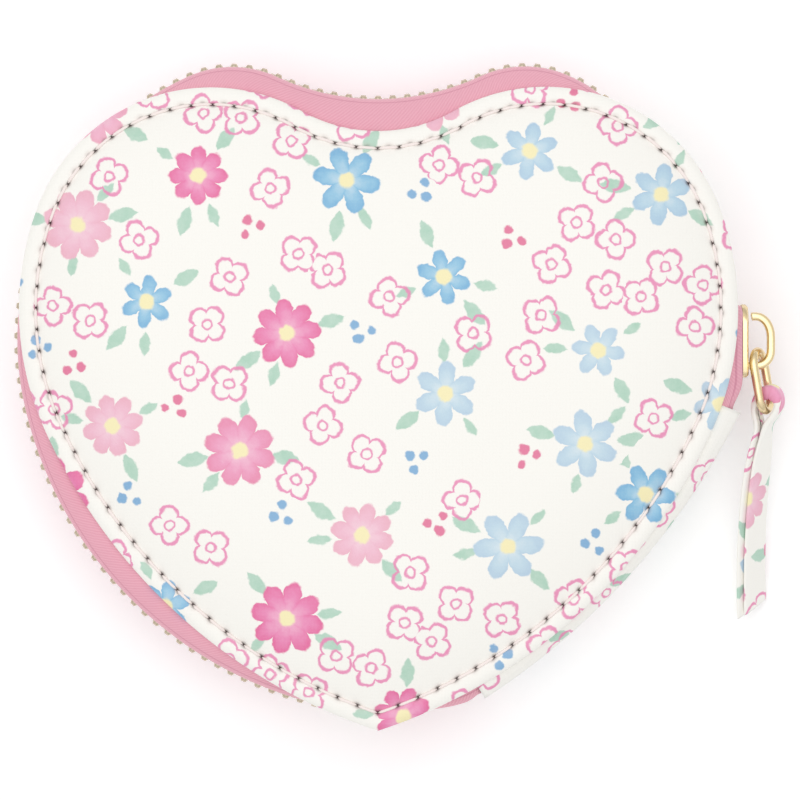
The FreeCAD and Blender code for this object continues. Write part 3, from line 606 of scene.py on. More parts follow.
def unit_stitch():
    """A stitch of unit length, width and height along X, whose ends dip below the cloth."""
    points = []
    for along in np.linspace(-0.5, 0.5, STITCH_RINGS):
        swell = math.sqrt(max(0.0, 1 - (2 * along) ** 6)) * STITCH_SWELL + STITCH_END
        dip = -STITCH_DIP * abs(2 * along) ** 5
        for angle in np.linspace(0, 2 * math.pi, STITCH_SIDES, endpoint=False):
            points.append((along, swell * math.cos(angle), dip + swell * math.sin(angle)))
    ends = [tuple(reversed(range(STITCH_SIDES))), tuple(range(len(points) - STITCH_SIDES, len(points)))]
    return points, ends + quads(STITCH_RINGS, STITCH_SIDES)


def unit_object(name, points, faces, material):
    """A shape of unit size that only serves to be repeated."""
    return new_piece(name, np.asarray(points) / MM, faces, material)


def repeat_tree(name, unit, material):
    """Nodes that set a unit shape at each point, turned as it says, at a named length, width and height."""
    tree = bpy.data.node_groups.new(name, "GeometryNodeTree")
    tree.interface.new_socket("Places", in_out="INPUT", socket_type="NodeSocketGeometry")
    for label in ("Length", "Width", "Height"):
        tree.interface.new_socket(label, in_out="INPUT", socket_type="NodeSocketFloat")
    tree.interface.new_socket("Pieces", in_out="OUTPUT", socket_type="NodeSocketGeometry")
    given = tree.nodes.new("NodeGroupInput").outputs
    shape = add_node(tree, "GeometryNodeObjectInfo", {"Object": unit}).outputs["Geometry"]
    turn = add_node(tree, "GeometryNodeInputNamedAttribute", {"Name": "turn"}, data_type="FLOAT_VECTOR")
    size = add_node(tree, "ShaderNodeCombineXYZ", {0: given["Length"], 1: given["Width"], 2: given["Height"]})
    placed = add_node(tree, "GeometryNodeInstanceOnPoints", {
        "Points": given["Places"], "Instance": shape, "Rotation": turn.outputs[0], "Scale": size.outputs[0]})
    real = add_node(tree, "GeometryNodeRealizeInstances", {0: placed.outputs[0]})
    dressed = add_node(tree, "GeometryNodeSetMaterial", {"Geometry": real.outputs[0], "Material": material})
    fill(tree, tree.nodes.new("NodeGroupOutput"), {0: dressed.outputs[0]})
    return tree


def repeated(name, tree, places, roll, headings, sizes, material):
    """A plain mesh of one unit shape repeated at places, rolled over on X and turned to its heading on Z."""
    piece = new_piece(name, places, [], material)
    turns = np.column_stack([np.full(len(places), roll), np.zeros(len(places)), headings])
    turn = piece.data.attributes.new("turn", "FLOAT_VECTOR", "POINT")
    turn.data.foreach_set("vector", turns.astype(np.float32).ravel())
    modifier = piece.modifiers.new("repeat", "NODES")
    modifier.node_group = tree
    for item in tree.interface.items_tree:
        if item.in_out == "INPUT" and item.name in sizes:
            modifier[item.identifier] = sizes[item.name] * MM
    plain_mesh(piece)
    return piece


stitch_shape = unit_object("stitch_shape", *unit_stitch(), thread)
stitch_tree = repeat_tree("stitches", stitch_shape, thread)
stitch_ring = closed(panel_ring(STITCH_INSET))
stitch_run = travel(stitch_ring)
stitch_count = round(stitch_run[-1] / STITCH_PITCH)
stitch_spots = (np.arange(stitch_count) + 0.5) * stitch_run[-1] / stitch_count


def on_stitch_line(distance):
    """Points on the stitch line at distances along it."""
    wrapped = np.mod(distance, stitch_run[-1])
    return np.column_stack([np.interp(wrapped, stitch_run, stitch_ring[:, k]) for k in range(2)])


stitch_ahead = on_stitch_line(stitch_spots + STITCH_LOOK) - on_stitch_line(stitch_spots - STITCH_LOOK)
stitch_heading = np.arctan2(stitch_ahead[:, 1], stitch_ahead[:, 0])
stitch_points = level(on_stitch_line(stitch_spots), STITCH_HEIGHT)
for half, points, roll in (("front", stitch_points, 0.0), ("back", to_back(stitch_points), math.pi)):
    stitches = repeated(f"{half}_topstitch_thread", stitch_tree, points, roll, stitch_heading, STITCH_SIZES,
                        thread)
    declare(stitches, half, f"{half}_topstitch")
bpy.data.objects.remove(stitch_shape)


# Zip tapes
# Two pink woven tapes run round the heart's side. Each carries a row of teeth on its
# edge, stands up as a low wall and folds in under its panel, where it is sewn down.

ZIP_LOBE_RADIUS = 44.5
ZIP_LOBE = np.array([55.6 - ZIP_LOBE_RADIUS, 10.2])
ZIP_TOP_ANGLE = math.radians(66.0)
ZIP_TOP_RADIUS = 16.2
ZIP_NOTCH_RADIUS = 37.4
ZIP_SIDE_ANGLE = math.radians(-12.0)
ZIP_TIP_RADIUS = 40.4
ZIP_TIP = np.array([0.0, -46.75 + ZIP_TIP_RADIUS])
GUSSET_TOP_Y = -0.6
GUSSET_BOTTOM_X = 15.9
TEETH_START_X = 1.6
# At the slider and above it the zip is pulled in a little, between these angles round the lobe
DRAW_IN = 0.6
DRAW_IN_FROM = (-12.0, -3.0)
DRAW_IN_TO = (54.0, 64.0)

zip_top = ZIP_LOBE + spoke(ZIP_TOP_ANGLE) * (ZIP_LOBE_RADIUS - ZIP_TOP_RADIUS)
tip_way = ZIP_LOBE - ZIP_TIP
radius_step = ZIP_LOBE_RADIUS - ZIP_TIP_RADIUS
side_extra = (tip_way @ tip_way - radius_step ** 2) / (2 * (tip_way @ spoke(ZIP_SIDE_ANGLE) + radius_step))
ZIP_SIDE = ZIP_LOBE - spoke(ZIP_SIDE_ANGLE) * side_extra
ZIP_SIDE_RADIUS = ZIP_LOBE_RADIUS + side_extra
ZIP_TIP_TOUCH = math.atan2(ZIP_TIP[1] - ZIP_SIDE[1], ZIP_TIP[0] - ZIP_SIDE[0])


def zip_line(start_angle, end_y, step):
    """Points and outward ways along the zip, clockwise from the tip to the right side, and the distance."""
    notch, touch = notch_circle(zip_top, ZIP_TOP_RADIUS, ZIP_NOTCH_RADIUS)
    tip_end = -math.pi - ZIP_TIP_TOUCH
    lobe_end = math.asin(max(-1.0, (end_y - ZIP_LOBE[1]) / ZIP_LOBE_RADIUS))
    arcs = [
        (ZIP_TIP, ZIP_TIP_RADIUS, 1, start_angle, tip_end),
        (ZIP_SIDE * FLIP, ZIP_SIDE_RADIUS, 1, tip_end, -math.pi - ZIP_SIDE_ANGLE),
        (ZIP_LOBE * FLIP, ZIP_LOBE_RADIUS, 1, math.pi - ZIP_SIDE_ANGLE, math.pi - ZIP_TOP_ANGLE),
        (zip_top * FLIP, ZIP_TOP_RADIUS, 1, math.pi - ZIP_TOP_ANGLE, math.pi - touch),
        (notch, ZIP_NOTCH_RADIUS, -1, 2 * math.pi - touch, math.pi + touch),
        (zip_top, ZIP_TOP_RADIUS, 1, touch, ZIP_TOP_ANGLE),
        (ZIP_LOBE, ZIP_LOBE_RADIUS, 1, ZIP_TOP_ANGLE, max(ZIP_SIDE_ANGLE, lobe_end)),
    ]
    if lobe_end < ZIP_SIDE_ANGLE:
        side_end = math.asin((end_y - ZIP_SIDE[1]) / ZIP_SIDE_RADIUS)
        arcs.append((ZIP_SIDE, ZIP_SIDE_RADIUS, 1, ZIP_SIDE_ANGLE, side_end))
    points = []
    outward = []
    for centre, radius, bend, first, last in arcs:
        count = max(2, round(radius * abs(last - first) / step))
        ways = spoke(first + (last - first) * np.arange(count) / count)
        points.append(centre + ways * radius)
        outward.append(ways * bend)
    ways = spoke(np.array([last]))
    points = np.concatenate(points + [centre + ways * radius])
    outward = np.concatenate(outward + [ways * bend])
    angles = np.degrees(np.arctan2(*(points - ZIP_LOBE).T[::-1]))
    drawn = [smooth_share(angle, *DRAW_IN_FROM) * (1 - smooth_share(angle, *DRAW_IN_TO)) for angle in angles]
    points -= outward * DRAW_IN * np.array(drawn)[:, None]
    return points, outward, travel(points)


def unit(vectors):
    return vectors / np.linalg.norm(vectors, axis=-1, keepdims=True)


def ribbon_section(line, thickness):
    """Closed section of a sheet from the line of its middle."""
    line = np.asarray(line, float)
    way = unit(np.gradient(line, axis=0))
    normal = np.column_stack([-way[:, 1], way[:, 0]])
    return np.concatenate([line + normal * thickness / 2, (line - normal * thickness / 2)[::-1]])


def fix_normals(piece):
    """Turns every face of a closed piece outwards."""
    work = bmesh.new()
    work.from_mesh(piece.data)
    bmesh.ops.recalc_face_normals(work, faces=work.faces)
    work.to_mesh(piece.data)
    work.free()
    piece.data.update()


def add_cloth_map(piece, places):
    """A UV map in metres from each point's place on the flat cloth in millimetres."""
    corner = np.empty(len(piece.data.loops), np.int32)
    piece.data.loops.foreach_get("vertex_index", corner)
    layer = piece.data.uv_layers.new(name="cloth")
    layer.data.foreach_set("uv", (np.asarray(places)[corner] * MM).astype(np.float32).ravel())


def sheet_piece(name, rows, along, line, material):
    """A closed sheet from rows of section points, with its map along the rows and across the line."""
    count, size = rows.shape[:2]
    ends = [tuple(range(size)), tuple(range((count - 1) * size, count * size))]
    piece = new_piece(name, rows.reshape(-1, 3), ends + quads(count, size), material)
    fix_normals(piece)
    across = travel(line)
    add_cloth_map(piece, np.column_stack([np.repeat(along, size), np.tile([*across, *across[::-1]], count)]))
    return piece


TAPE_FOLD = 3.5
tape_cloth, tree, shader, place = new_material("pink_zip_tape", "UV")
twill = add_node(tree, "ShaderNodeTexWave", {"Vector": place, "Scale": 1.1, "Distortion": 1.2},
                 bands_direction="DIAGONAL").outputs["Fac"]
tone = lay_over(tree, twill, screen_colour(233, 163, 181), screen_colour(242, 180, 195))
patches = calc(tree, "MULTIPLY", noise(tree, place, 0.25, 3.0)["Fac"], 0.3)
tone = lay_over(tree, patches, tone, screen_colour(236, 168, 186))
across = add_node(tree, "ShaderNodeSeparateXYZ", {0: place}).outputs["Y"]
# Painted shade: a darker pink line along the fold near the tape's edge
from_fold = soft_step(tree, gap(tree, across, TAPE_FOLD), 0.05, 0.2)
tone = lay_over(tree, calc(tree, "SUBTRACT", 0.6, from_fold, clamp=True), tone, screen_colour(204, 124, 150))
fill(tree, shader, {"Base Color": tone, "Roughness": 0.72, "Sheen Weight": 0.25,
                    "Normal": relief(tree, twill, 0.35, 0.08)})

# Middle of the tape's section as (outward from the zip line, height over the mid plane)
TAPE_LINE = [(0.16, 0.75), (0.2, 1.2), (0.16, 1.6), (-0.06, 1.78), (0.04, 2.0), (0.06, 2.5), (-0.02, 3.0),
             (-0.3, 3.55), (-0.85, 4.15), (-1.6, 4.6), (-2.5, 4.88), (-3.6, 4.98), (-5.6, 5.0), (-8.3, 5.0)]
TAPE_THICKNESS = 0.42
TAPE_STEP = 0.9
# Past the last tooth and below the slider the two edges close up to each other
TAPE_EDGE_DROP = [0.62, 0.3] + [0.0] * (len(TAPE_LINE) - 2)
BARE_TOP = (3.9, 4.9)
BARE_BOTTOM = (-1.6, -0.6)
# The tape lies flat against the slider's outer plate, and stands out where it runs in under the gusset
PRESSED_X = 55.9
PRESSED_FROM = (0.6, 5.0)
PRESSED_TO = (15.6, 16.8)
PRESSED_LOW = (1.2, 1.8)
PRESSED_HIGH = (3.3, 4.4)
FLARE = 0.85
FLARE_LEAST = 0.4
FLARE_START = (0.6, 2.6)
FLARE_END = 3.0
FLARE_HEIGHT = (3.0, 4.9)

gusset_start = -math.acos(GUSSET_BOTTOM_X / ZIP_TIP_RADIUS)
teeth_start = -math.acos(TEETH_START_X / ZIP_TIP_RADIUS)
bare_length = ZIP_TIP_RADIUS * (gusset_start - teeth_start)
tape_points, tape_outward, tape_run = zip_line(gusset_start, GUSSET_TOP_Y, TAPE_STEP)
tape_rows = []
for point, outward, run in zip(tape_points, tape_outward, tape_run):
    left_over = tape_run[-1] - run
    bare = 2 - smooth_share(run - bare_length, *BARE_BOTTOM) - smooth_share(left_over, *BARE_TOP)
    pressed = smooth_share(left_over, *PRESSED_FROM) * (1 - smooth_share(left_over, *PRESSED_TO))
    flare = FLARE * (FLARE_LEAST + (1 - FLARE_LEAST) * smooth_share(run, *FLARE_START))
    flare *= 1 - smooth_share(run, FLARE_END, bare_length)
    line = []
    for (out, height), drop in zip(TAPE_LINE, TAPE_EDGE_DROP):
        press = pressed * smooth_share(height, *PRESSED_LOW) * (1 - smooth_share(height, *PRESSED_HIGH))
        lean = flare * (1 - smooth_share(height, *FLARE_HEIGHT))
        line.append((out + press * (PRESSED_X - point[0] - out) + lean, height - bare * drop))
    section = ribbon_section(line, TAPE_THICKNESS)
    tape_rows.append(level(point + section[:, :1] * outward, section[:, 1]))
tape_rows = np.array(tape_rows)
for half, rows in (("front", tape_rows), ("back", to_back(tape_rows))):
    tape = sheet_piece(f"{half}_zip_tape_cloth", rows, tape_run, TAPE_LINE, tape_cloth)
    declare(tape, half, f"{half}_zip_tape")


# Zip teeth and stops
# Small bead-like teeth of pale gold metal are clamped on each tape's edge half a pitch apart,
# with a staple at each top end, in the slider's mouth, and one across the bottom end.

TOOTH_PITCH = 2.3
TOOTH_SIZES = {"Length": 2.0, "Width": 1.2, "Height": 2.75}
TOOTH_EDGE = 0.2
TOOTH_HEAD = 0.4
TEETH_STEP = 0.3


def gold_metal(name, dull, bright):
    """Plated metal between two tones, a little rougher where it is bright."""
    material, tree, shader, place = new_material(name, "Object")
    wear = noise(tree, place, 0.42, 4.0)["Fac"]
    fill(tree, shader, {"Base Color": lay_over(tree, wear, dull, bright), "Metallic": 1.0,
                        "Roughness": calc(tree, "MULTIPLY_ADD", wear, 0.14, 0.16)})
    return material


pale_gold = gold_metal("pale_gold_metal", screen_colour(226, 200, 150), screen_colour(245, 228, 190))
# Painted shade: the teeth take a darker, greyer copy of the pale gold, for the shade and dim reflections
# where they lie low between the tapes
teeth_shaded_gold = gold_metal("teeth_gold_metal", screen_colour(200, 184, 160), screen_colour(226, 212, 190))


def bevelled_block(low, high, width, head=1.0):
    """Points and faces of a block with its edges cut off, narrowed across X at its low end by a share."""
    work = bmesh.new()
    bmesh.ops.create_cube(work, size=1.0)
    for vertex in work.verts:
        narrow = head if vertex.co[2] < 0 else 1.0
        vertex.co = [low[k] + (high[k] - low[k]) * (vertex.co[k] + 0.5) for k in range(3)]
        vertex.co[0] *= narrow
    bmesh.ops.bevel(work, geom=work.edges, offset=width, segments=1, affect="EDGES", profile=0.6)
    work.verts.index_update()
    points = [tuple(vertex.co) for vertex in work.verts]
    faces = [tuple(vertex.index for vertex in face.verts) for face in work.faces]
    work.free()
    return points, faces


# The unit tooth is 1 wide outwards along X, 1 along the zip on Y, and 1 high from its head to its jaws
tooth_block = bevelled_block((-0.5, -0.5, -0.16), (0.5, 0.5, 0.84), TOOTH_EDGE, TOOTH_HEAD)
tooth_shape = unit_object("tooth_shape", *tooth_block, teeth_shaded_gold)
tooth_tree = repeat_tree("teeth", tooth_shape, teeth_shaded_gold)
teeth_points, teeth_outward, teeth_run = zip_line(teeth_start, ZIP_LOBE[1], TEETH_STEP)
for half, first, roll in (("front", TOOTH_PITCH, 0.0), ("back", TOOTH_PITCH / 2, math.pi)):
    spots = first + np.arange(int((teeth_run[-1] - first) / TOOTH_PITCH)) * TOOTH_PITCH
    flat = np.column_stack([np.interp(spots, teeth_run, teeth_points[:, k]) for k in range(2)])
    facing = np.arctan2(*(np.interp(spots, teeth_run, teeth_outward[:, k]) for k in (1, 0)))
    teeth = repeated(f"{half}_zip_teeth_metal", tooth_tree, level(flat, 0.0), roll, facing, TOOTH_SIZES,
                     teeth_shaded_gold)
    declare(teeth, half, f"{half}_zip_teeth")
bpy.data.objects.remove(tooth_shape)

for stop in ("front_top_stop", "back_top_stop", "bottom_stop"):
    stop_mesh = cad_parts[stop].data
    stop_mesh.materials.clear()
    stop_mesh.materials.append(pale_gold)


# Hinge gusset
# A strip of the printed cloth joins the two halves at the lower right and covers the tape ends.
# Its long edges are sewn in under both panels.

GUSSET_COVER = 1.7
GUSSET_BULGE = 3.9
GUSSET_HEM = 2.0
GUSSET_FOLD = 0.45
GUSSET_THICKNESS = 0.8
GUSSET_STEPS = 70
GUSSET_CLOTH = printed_cloth("printed_gusset_cloth", "UV")
# Upper half of the section as (share of the way from fold to hem, outward, height), mirrored below
GUSSET_SECTION = [(0.0, 0.0, 0.9), (0.0, -0.1, 2.4), (0.04, 0.0, 3.6), (0.22, 0.1, 4.45), (0.55, 0.1, 4.95),
                  (1.0, 0.0, 5.2)]


def circle_through(first, second, third):
    """Centre and radius of the circle through three points."""
    rows = np.array([2 * (second - first), 2 * (third - first)])
    sums = np.array([second @ second - first @ first, third @ third - first @ first])
    centre = np.linalg.solve(rows, sums)
    return centre, float(np.linalg.norm(first - centre))


def ray_meets_circle(origin, through, centre, radius):
    way = unit(through - origin)
    offset = origin - centre
    half = offset @ way
    return origin + way * (-half + math.sqrt(half ** 2 - offset @ offset + radius ** 2))


top_angle = math.asin((GUSSET_TOP_Y - ZIP_SIDE[1]) / ZIP_SIDE_RADIUS)
gusset_top = ZIP_SIDE + spoke(top_angle) * (ZIP_SIDE_RADIUS + GUSSET_COVER)
gusset_bottom = ZIP_TIP + spoke(gusset_start) * (ZIP_TIP_RADIUS + GUSSET_COVER)
gusset_chord = gusset_top - gusset_bottom
gusset_out = unit(np.array([gusset_chord[1], -gusset_chord[0]]))
gusset_middle = (gusset_top + gusset_bottom) / 2 + gusset_out * GUSSET_BULGE
band_centre, band_radius = circle_through(gusset_top, gusset_middle, gusset_bottom)


def hinge_strip(name, node, section, fold_inset, hem_inset, thickness, material):
    """A cloth strip that follows the gusset's curve and bends between the halves along the hinge."""
    section = [(share, out, -height) for share, out, height in reversed(section)] + section
    rows = []
    folds = []
    for share in np.linspace(0.0, 1.0, GUSSET_STEPS):
        target = gusset_bottom + gusset_chord * share
        fold = ray_meets_circle(PANEL_LOWER, target, band_centre, band_radius - fold_inset)
        hem = ray_meets_circle(PANEL_LOWER, target, PANEL_LOWER, PANEL_LOWER_RADIUS - hem_inset)
        way = unit(fold - PANEL_LOWER)
        line = [((hem - fold) @ way * part + out, height) for part, out, height in section]
        ribbon = ribbon_section(line, thickness)
        rows.append(level(fold + ribbon[:, :1] * way, ribbon[:, 1]))
        folds.append(fold)
    run = travel(folds)
    strip = sheet_piece(name, np.array(rows), run, line, material)
    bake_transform(strip)
    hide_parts(node)


hinge_strip("hinge_gusset_cloth", "hinge_gusset", GUSSET_SECTION, GUSSET_FOLD, GUSSET_HEM, GUSSET_THICKNESS,
            GUSSET_CLOTH)


# Linings
# Plain pale pink cotton closes the inside of each half over the sewn tape, and a narrow
# strip of it lines the gusset. The colour is chosen to go with the tape, as the inside is not seen.

LINING_INSET = 3.8
LINING_HINGE_RADIUS = 80.8
LINING_STEP = 1.0
LINING_UNDER = 4.28
LINING_THICKNESS = 0.4
LINING_SAG = -0.12
# Rings of the lining as (share of the way from its middle to its edge, lift of its inner face, of its outer)
LINING_RINGS = [(0.5, LINING_SAG, LINING_SAG), (0.85, -0.06, -0.06), (0.98, 0.0, 0.0), (1.0, 0.1, -0.1)]
GUSSET_LINING_FOLD = 2.7
GUSSET_LINING_HEM = 5.6
GUSSET_LINING_SECTION = [(0.0, 0.0, 1.2), (0.0, 0.0, 2.9), (0.2, 0.0, 3.7), (0.55, 0.0, 4.0),
                         (1.0, 0.0, 4.02)]

lining_cloth, tree, shader, place = new_material("pale_pink_lining", "Object")
plain = weave(tree, place, 0.64, 0.0)
tone = lay_over(tree, plain, screen_colour(240, 206, 216), screen_colour(250, 226, 232))
fill(tree, shader, {"Base Color": tone, "Roughness": 0.85, "Normal": relief(tree, plain, 0.3, 0.05)})

tip_touch_y = ZIP_TIP[1] + ZIP_TIP_RADIUS * math.sin(ZIP_TIP_TOUCH)
whole_zip, whole_outward = zip_line(ZIP_TIP_TOUCH, tip_touch_y, LINING_STEP)[:2]
from_hub = (whole_zip - whole_outward * LINING_INSET)[:0:-1] - PANEL_LOWER
hub_distance = np.linalg.norm(from_hub, axis=1, keepdims=True)
lining_ring = PANEL_LOWER + from_hub * np.minimum(1.0, LINING_HINGE_RADIUS / hub_distance)
lining_over = LINING_UNDER + LINING_THICKNESS
inner_face = [level(CROWN_MIDDLE, LINING_UNDER + LINING_SAG)]
outer_face = [level(CROWN_MIDDLE, lining_over + LINING_SAG)]
for share, inner_lift, outer_lift in LINING_RINGS:
    flat = CROWN_MIDDLE + (lining_ring - CROWN_MIDDLE) * share
    inner_face.append(level(flat, LINING_UNDER + inner_lift))
    outer_face.append(level(flat, lining_over + outer_lift))
lining_points = np.concatenate(inner_face + outer_face[::-1])
for half, points, faces in both_halves(lining_points, ring_faces(2 * len(LINING_RINGS), len(lining_ring))):
    lining = new_piece(f"{half}_lining_cloth", points, faces, lining_cloth)
    declare(lining, half, f"{half}_lining")
hinge_strip("hinge_gusset_lining_cloth", "hinge_gusset_lining", GUSSET_LINING_SECTION, GUSSET_LINING_FOLD,
            GUSSET_LINING_HEM, LINING_THICKNESS, lining_cloth)


# Slider
# A small cast slider of pale gold metal: two plates on a post, with lips that hold the tape,
# and a stout open hook on the outer plate that carries the pull.

SLIDER_AT = np.array([ZIP_LOBE[0] + ZIP_LOBE_RADIUS - DRAW_IN, ZIP_LOBE[1], MID_DEPTH])
SLIDER_END = 5.65
PLATE = 0.9
OUTER_CHANNEL = 1.2
INNER_CHANNEL = 1.6
PLATE_LIP = 0.05
OUTER_LIP = 0.08
INNER_LIP = 0.15
SUNK = 0.3
HOOK_BAR = 1.3
HOOK_DEPTH = 1.6
HOOK_REACH = 4.35
HOOK_AXIS = 3.825
HOOK_ROOT = (-0.4, 0.6)
HOOK_TIP = [(1.0, 0.0), (0.75, 0.03), (0.68, 0.04)]
# The hook's two corners as (width, height, end of the slider)
HOOK_CORNERS = [(2.1, 2.3, -1), (2.3, 3.2, 1)]
HOOK_CORNER_STEPS = 9
BAR_SIDES = 16
BAR_ROUNDNESS = 0.7
BAR_END = 0.8
SHARP_EDGE = math.radians(50.0)
# Stations of a plate as (place along, half width), and its columns as (share of the half width, bow outwards)
PLATE_STATIONS = [(-SLIDER_END, 2.3), (-5.3, 2.95), (-4.75, 3.2), (2.65, 3.2), (4.05, 2.8), (5.15, 2.1),
                  (SLIDER_END, 1.3)]
PLATE_COLUMNS = [(-1.0, -0.34), (-0.86, -0.06), (-0.5, 0.02), (0.0, 0.05), (0.5, 0.02), (0.86, -0.06),
                 (1.0, -0.34)]
PLATE_END_DROP = 0.3
# The post and the lips as (along, across) of two opposite corners, and their cut edges
POST = ((-5.05, -0.42), (-1.85, 0.42), 0.18)
LIP = ((-4.4, -3.05), (3.0, -2.6), 0.12)


def slider_plate(low, high, bow):
    """A plate of the slider between two places outwards, bowed across its width and rounded at both ends."""
    rows = len(PLATE_STATIONS)
    size = len(PLATE_COLUMNS)
    base = rows * size
    points = []
    for along, width in PLATE_STATIONS:
        drop = PLATE_END_DROP if abs(along) == SLIDER_END else 0.0
        points += [(high + (lift - drop) * bow, along, column * width) for column, lift in PLATE_COLUMNS]
    points += [(low, along, column * width)
               for along, width in PLATE_STATIONS for column, lift in PLATE_COLUMNS]
    faces = quads(rows, size, around=False)
    faces += [tuple(base + corner for corner in face) for face in faces]
    rim = [*range(size), *range(2 * size - 1, base, size)]
    rim += [*range(base - 2, base - size - 1, -1), *range(base - 2 * size, 0, -size)]
    faces += [(first, base + first, base + second, second) for first, second in zip(rim, rim[1:] + rim[:1])]
    return points, faces


def rounded_bar(path, width, depth):
    """A bar of rounded section swept along a flat path, with its width in the path's plane."""
    path = np.asarray(path, float)
    way = unit(np.gradient(path, axis=0))
    shape = spoke(np.linspace(0, 2 * math.pi, BAR_SIDES, endpoint=False))
    shape = np.sign(shape) * np.abs(shape) ** BAR_ROUNDNESS / 2
    points = []
    for index, (point, ahead) in enumerate(zip(path, way)):
        shrink = BAR_END if index in (0, len(path) - 1) else 1.0
        for u, v in shape * shrink:
            points.append((point[0] - ahead[1] * u * width, point[1] + ahead[0] * u * width, v * depth))
    ends = [tuple(range(BAR_SIDES)), tuple(range(len(points) - BAR_SIDES, len(points)))]
    return points, ends + quads(len(path), BAR_SIDES)


def hook_path(face):
    """Middle of the hook's bar: out from the plate, up, and back to a blunt free end."""
    reach = face + HOOK_REACH - HOOK_BAR / 2
    points = [(face + out, -HOOK_AXIS) for out in HOOK_ROOT]
    for wide, tall, side in HOOK_CORNERS:
        for angle in np.linspace(0.0, math.pi / 2, HOOK_CORNER_STEPS) + (side - 1) * math.pi / 4:
            up = side * (HOOK_AXIS - tall) + tall * math.sin(angle)
            points.append((reach - wide + wide * math.cos(angle), up))
    return points + [(face + out, HOOK_AXIS - drop) for out, drop in HOOK_TIP]


def slider_block(start, end, shape):
    """A block of the slider between two places outwards."""
    low, high, edge = shape
    return bevelled_block((start, *low), (end, *high), edge)


slider_face = OUTER_CHANNEL + PLATE
slider_points = []
slider_faces = []
for part_points, part_faces in (
        slider_plate(OUTER_CHANNEL - PLATE_LIP, slider_face, 1),
        slider_plate(-INNER_CHANNEL + PLATE_LIP, -INNER_CHANNEL - PLATE, -1),
        slider_block(-INNER_CHANNEL - SUNK, OUTER_CHANNEL + SUNK, POST),
        slider_block(OUTER_CHANNEL - OUTER_LIP, OUTER_CHANNEL + SUNK, LIP),
        slider_block(-INNER_CHANNEL - SUNK, -INNER_CHANNEL + INNER_LIP, LIP),
        rounded_bar(hook_path(slider_face), HOOK_BAR, HOOK_DEPTH)):
    slider_faces += [tuple(len(slider_points) + corner for corner in face) for face in part_faces]
    slider_points += part_points
slider = new_piece("slider_metal", SLIDER_AT + np.array(slider_points), slider_faces, pale_gold)
fix_normals(slider)
slider.data.set_sharp_from_angle(angle=SHARP_EDGE)
declare(slider, "slider", "slider_body")


# Pull link
# A closed oval of stout gold wire, threaded on the lower bar of the slider's hook and hanging
# from it turned on its long axis, so that both of its arms are seen.

LINK_DROP = math.radians(6.5)
LINK_LEAN = math.radians(10.5)
LINK_TWIST = math.radians(-27.0)
LINK_WIRE = 0.68
LINK_OPENING = 1.55
LINK_RUN = 4.8
LINK_PLACE = 1.9
LINK_ARC_STEPS = 24
LINK_SIDES = 16

link_frame = Matrix.Translation(SLIDER_AT + np.array([slider_face + LINK_PLACE, -HOOK_AXIS, 0.0]))
for angle, axis in ((LINK_DROP, "X"), (LINK_LEAN, "Z"), (LINK_TWIST, "Y")):
    link_frame @= Matrix.Rotation(angle, 4, axis)
link_points = []
for middle, first in ((0.0, 0.0), (-LINK_RUN, math.pi)):
    for angle in np.linspace(first, first + math.pi, LINK_ARC_STEPS):
        for turn in np.linspace(0, 2 * math.pi, LINK_SIDES, endpoint=False):
            reach = LINK_OPENING + LINK_WIRE * (1 + math.cos(turn))
            place = (LINK_WIRE * math.sin(turn), middle + reach * math.sin(angle), reach * math.cos(angle))
            link_points.append(link_frame @ Vector(place))
link_faces = quads(2 * LINK_ARC_STEPS, LINK_SIDES, looped=True)
link = new_piece("pull_link_metal", link_points, link_faces, pale_gold)
fix_normals(link)
declare(link, "link", "pull_link")


# Pull tab
# A strip of the printed cloth with its edges folded in, doubled over the link: pinched where
# it passes through the wire, and hanging as two layers that lie a little askew.

TAB_SWING = math.radians(-14.3)
TAB_AXIS = (0.0, -7.0, 0.0)
TAB_CLOTH = printed_cloth("printed_tab_cloth", "UV")
# Path of the strip's middle from the front layer's end, up, round the wire and down the back layer,
# as (outward, along, half width, shift across)
TAB_PATH = [
    (0.6, -32.2, 2.4, -0.35), (0.6, -28.0, 2.4, -0.35), (0.6, -22.0, 2.3, -0.35), (0.6, -15.0, 2.2, -0.35),
    (0.6, -9.5, 2.1, -0.35), (0.62, -6.4, 2.0, -0.35), (0.66, -4.6, 1.85, -0.3), (0.72, -3.2, 1.65, -0.2),
    (1.0, -2.1, 1.45, -0.1), (1.7, -1.0, 1.3, 0.0), (2.3, 0.3, 1.2, 0.0), (2.5, 1.6, 1.15, 0.0),
    (2.2, 3.0, 1.15, 0.0), (1.25, 3.9, 1.15, 0.0), (0.0, 4.0, 1.15, 0.0), (-1.2, 3.3, 1.15, 0.0),
    (-2.0, 2.0, 1.15, 0.0), (-2.25, 0.5, 1.2, 0.0), (-1.95, -1.0, 1.3, 0.0), (-1.2, -2.2, 1.45, 0.1),
    (-0.8, -3.2, 1.65, 0.2), (-0.68, -4.6, 1.85, 0.3), (-0.62, -6.4, 2.0, 0.35),
    (-0.6, -9.5, 2.2, 0.35), (-0.6, -15.0, 2.35, 0.35), (-0.6, -22.0, 2.45, 0.35), (-0.6, -28.0, 2.5, 0.35),
    (-0.6, -32.9, 2.5, 0.35),
]
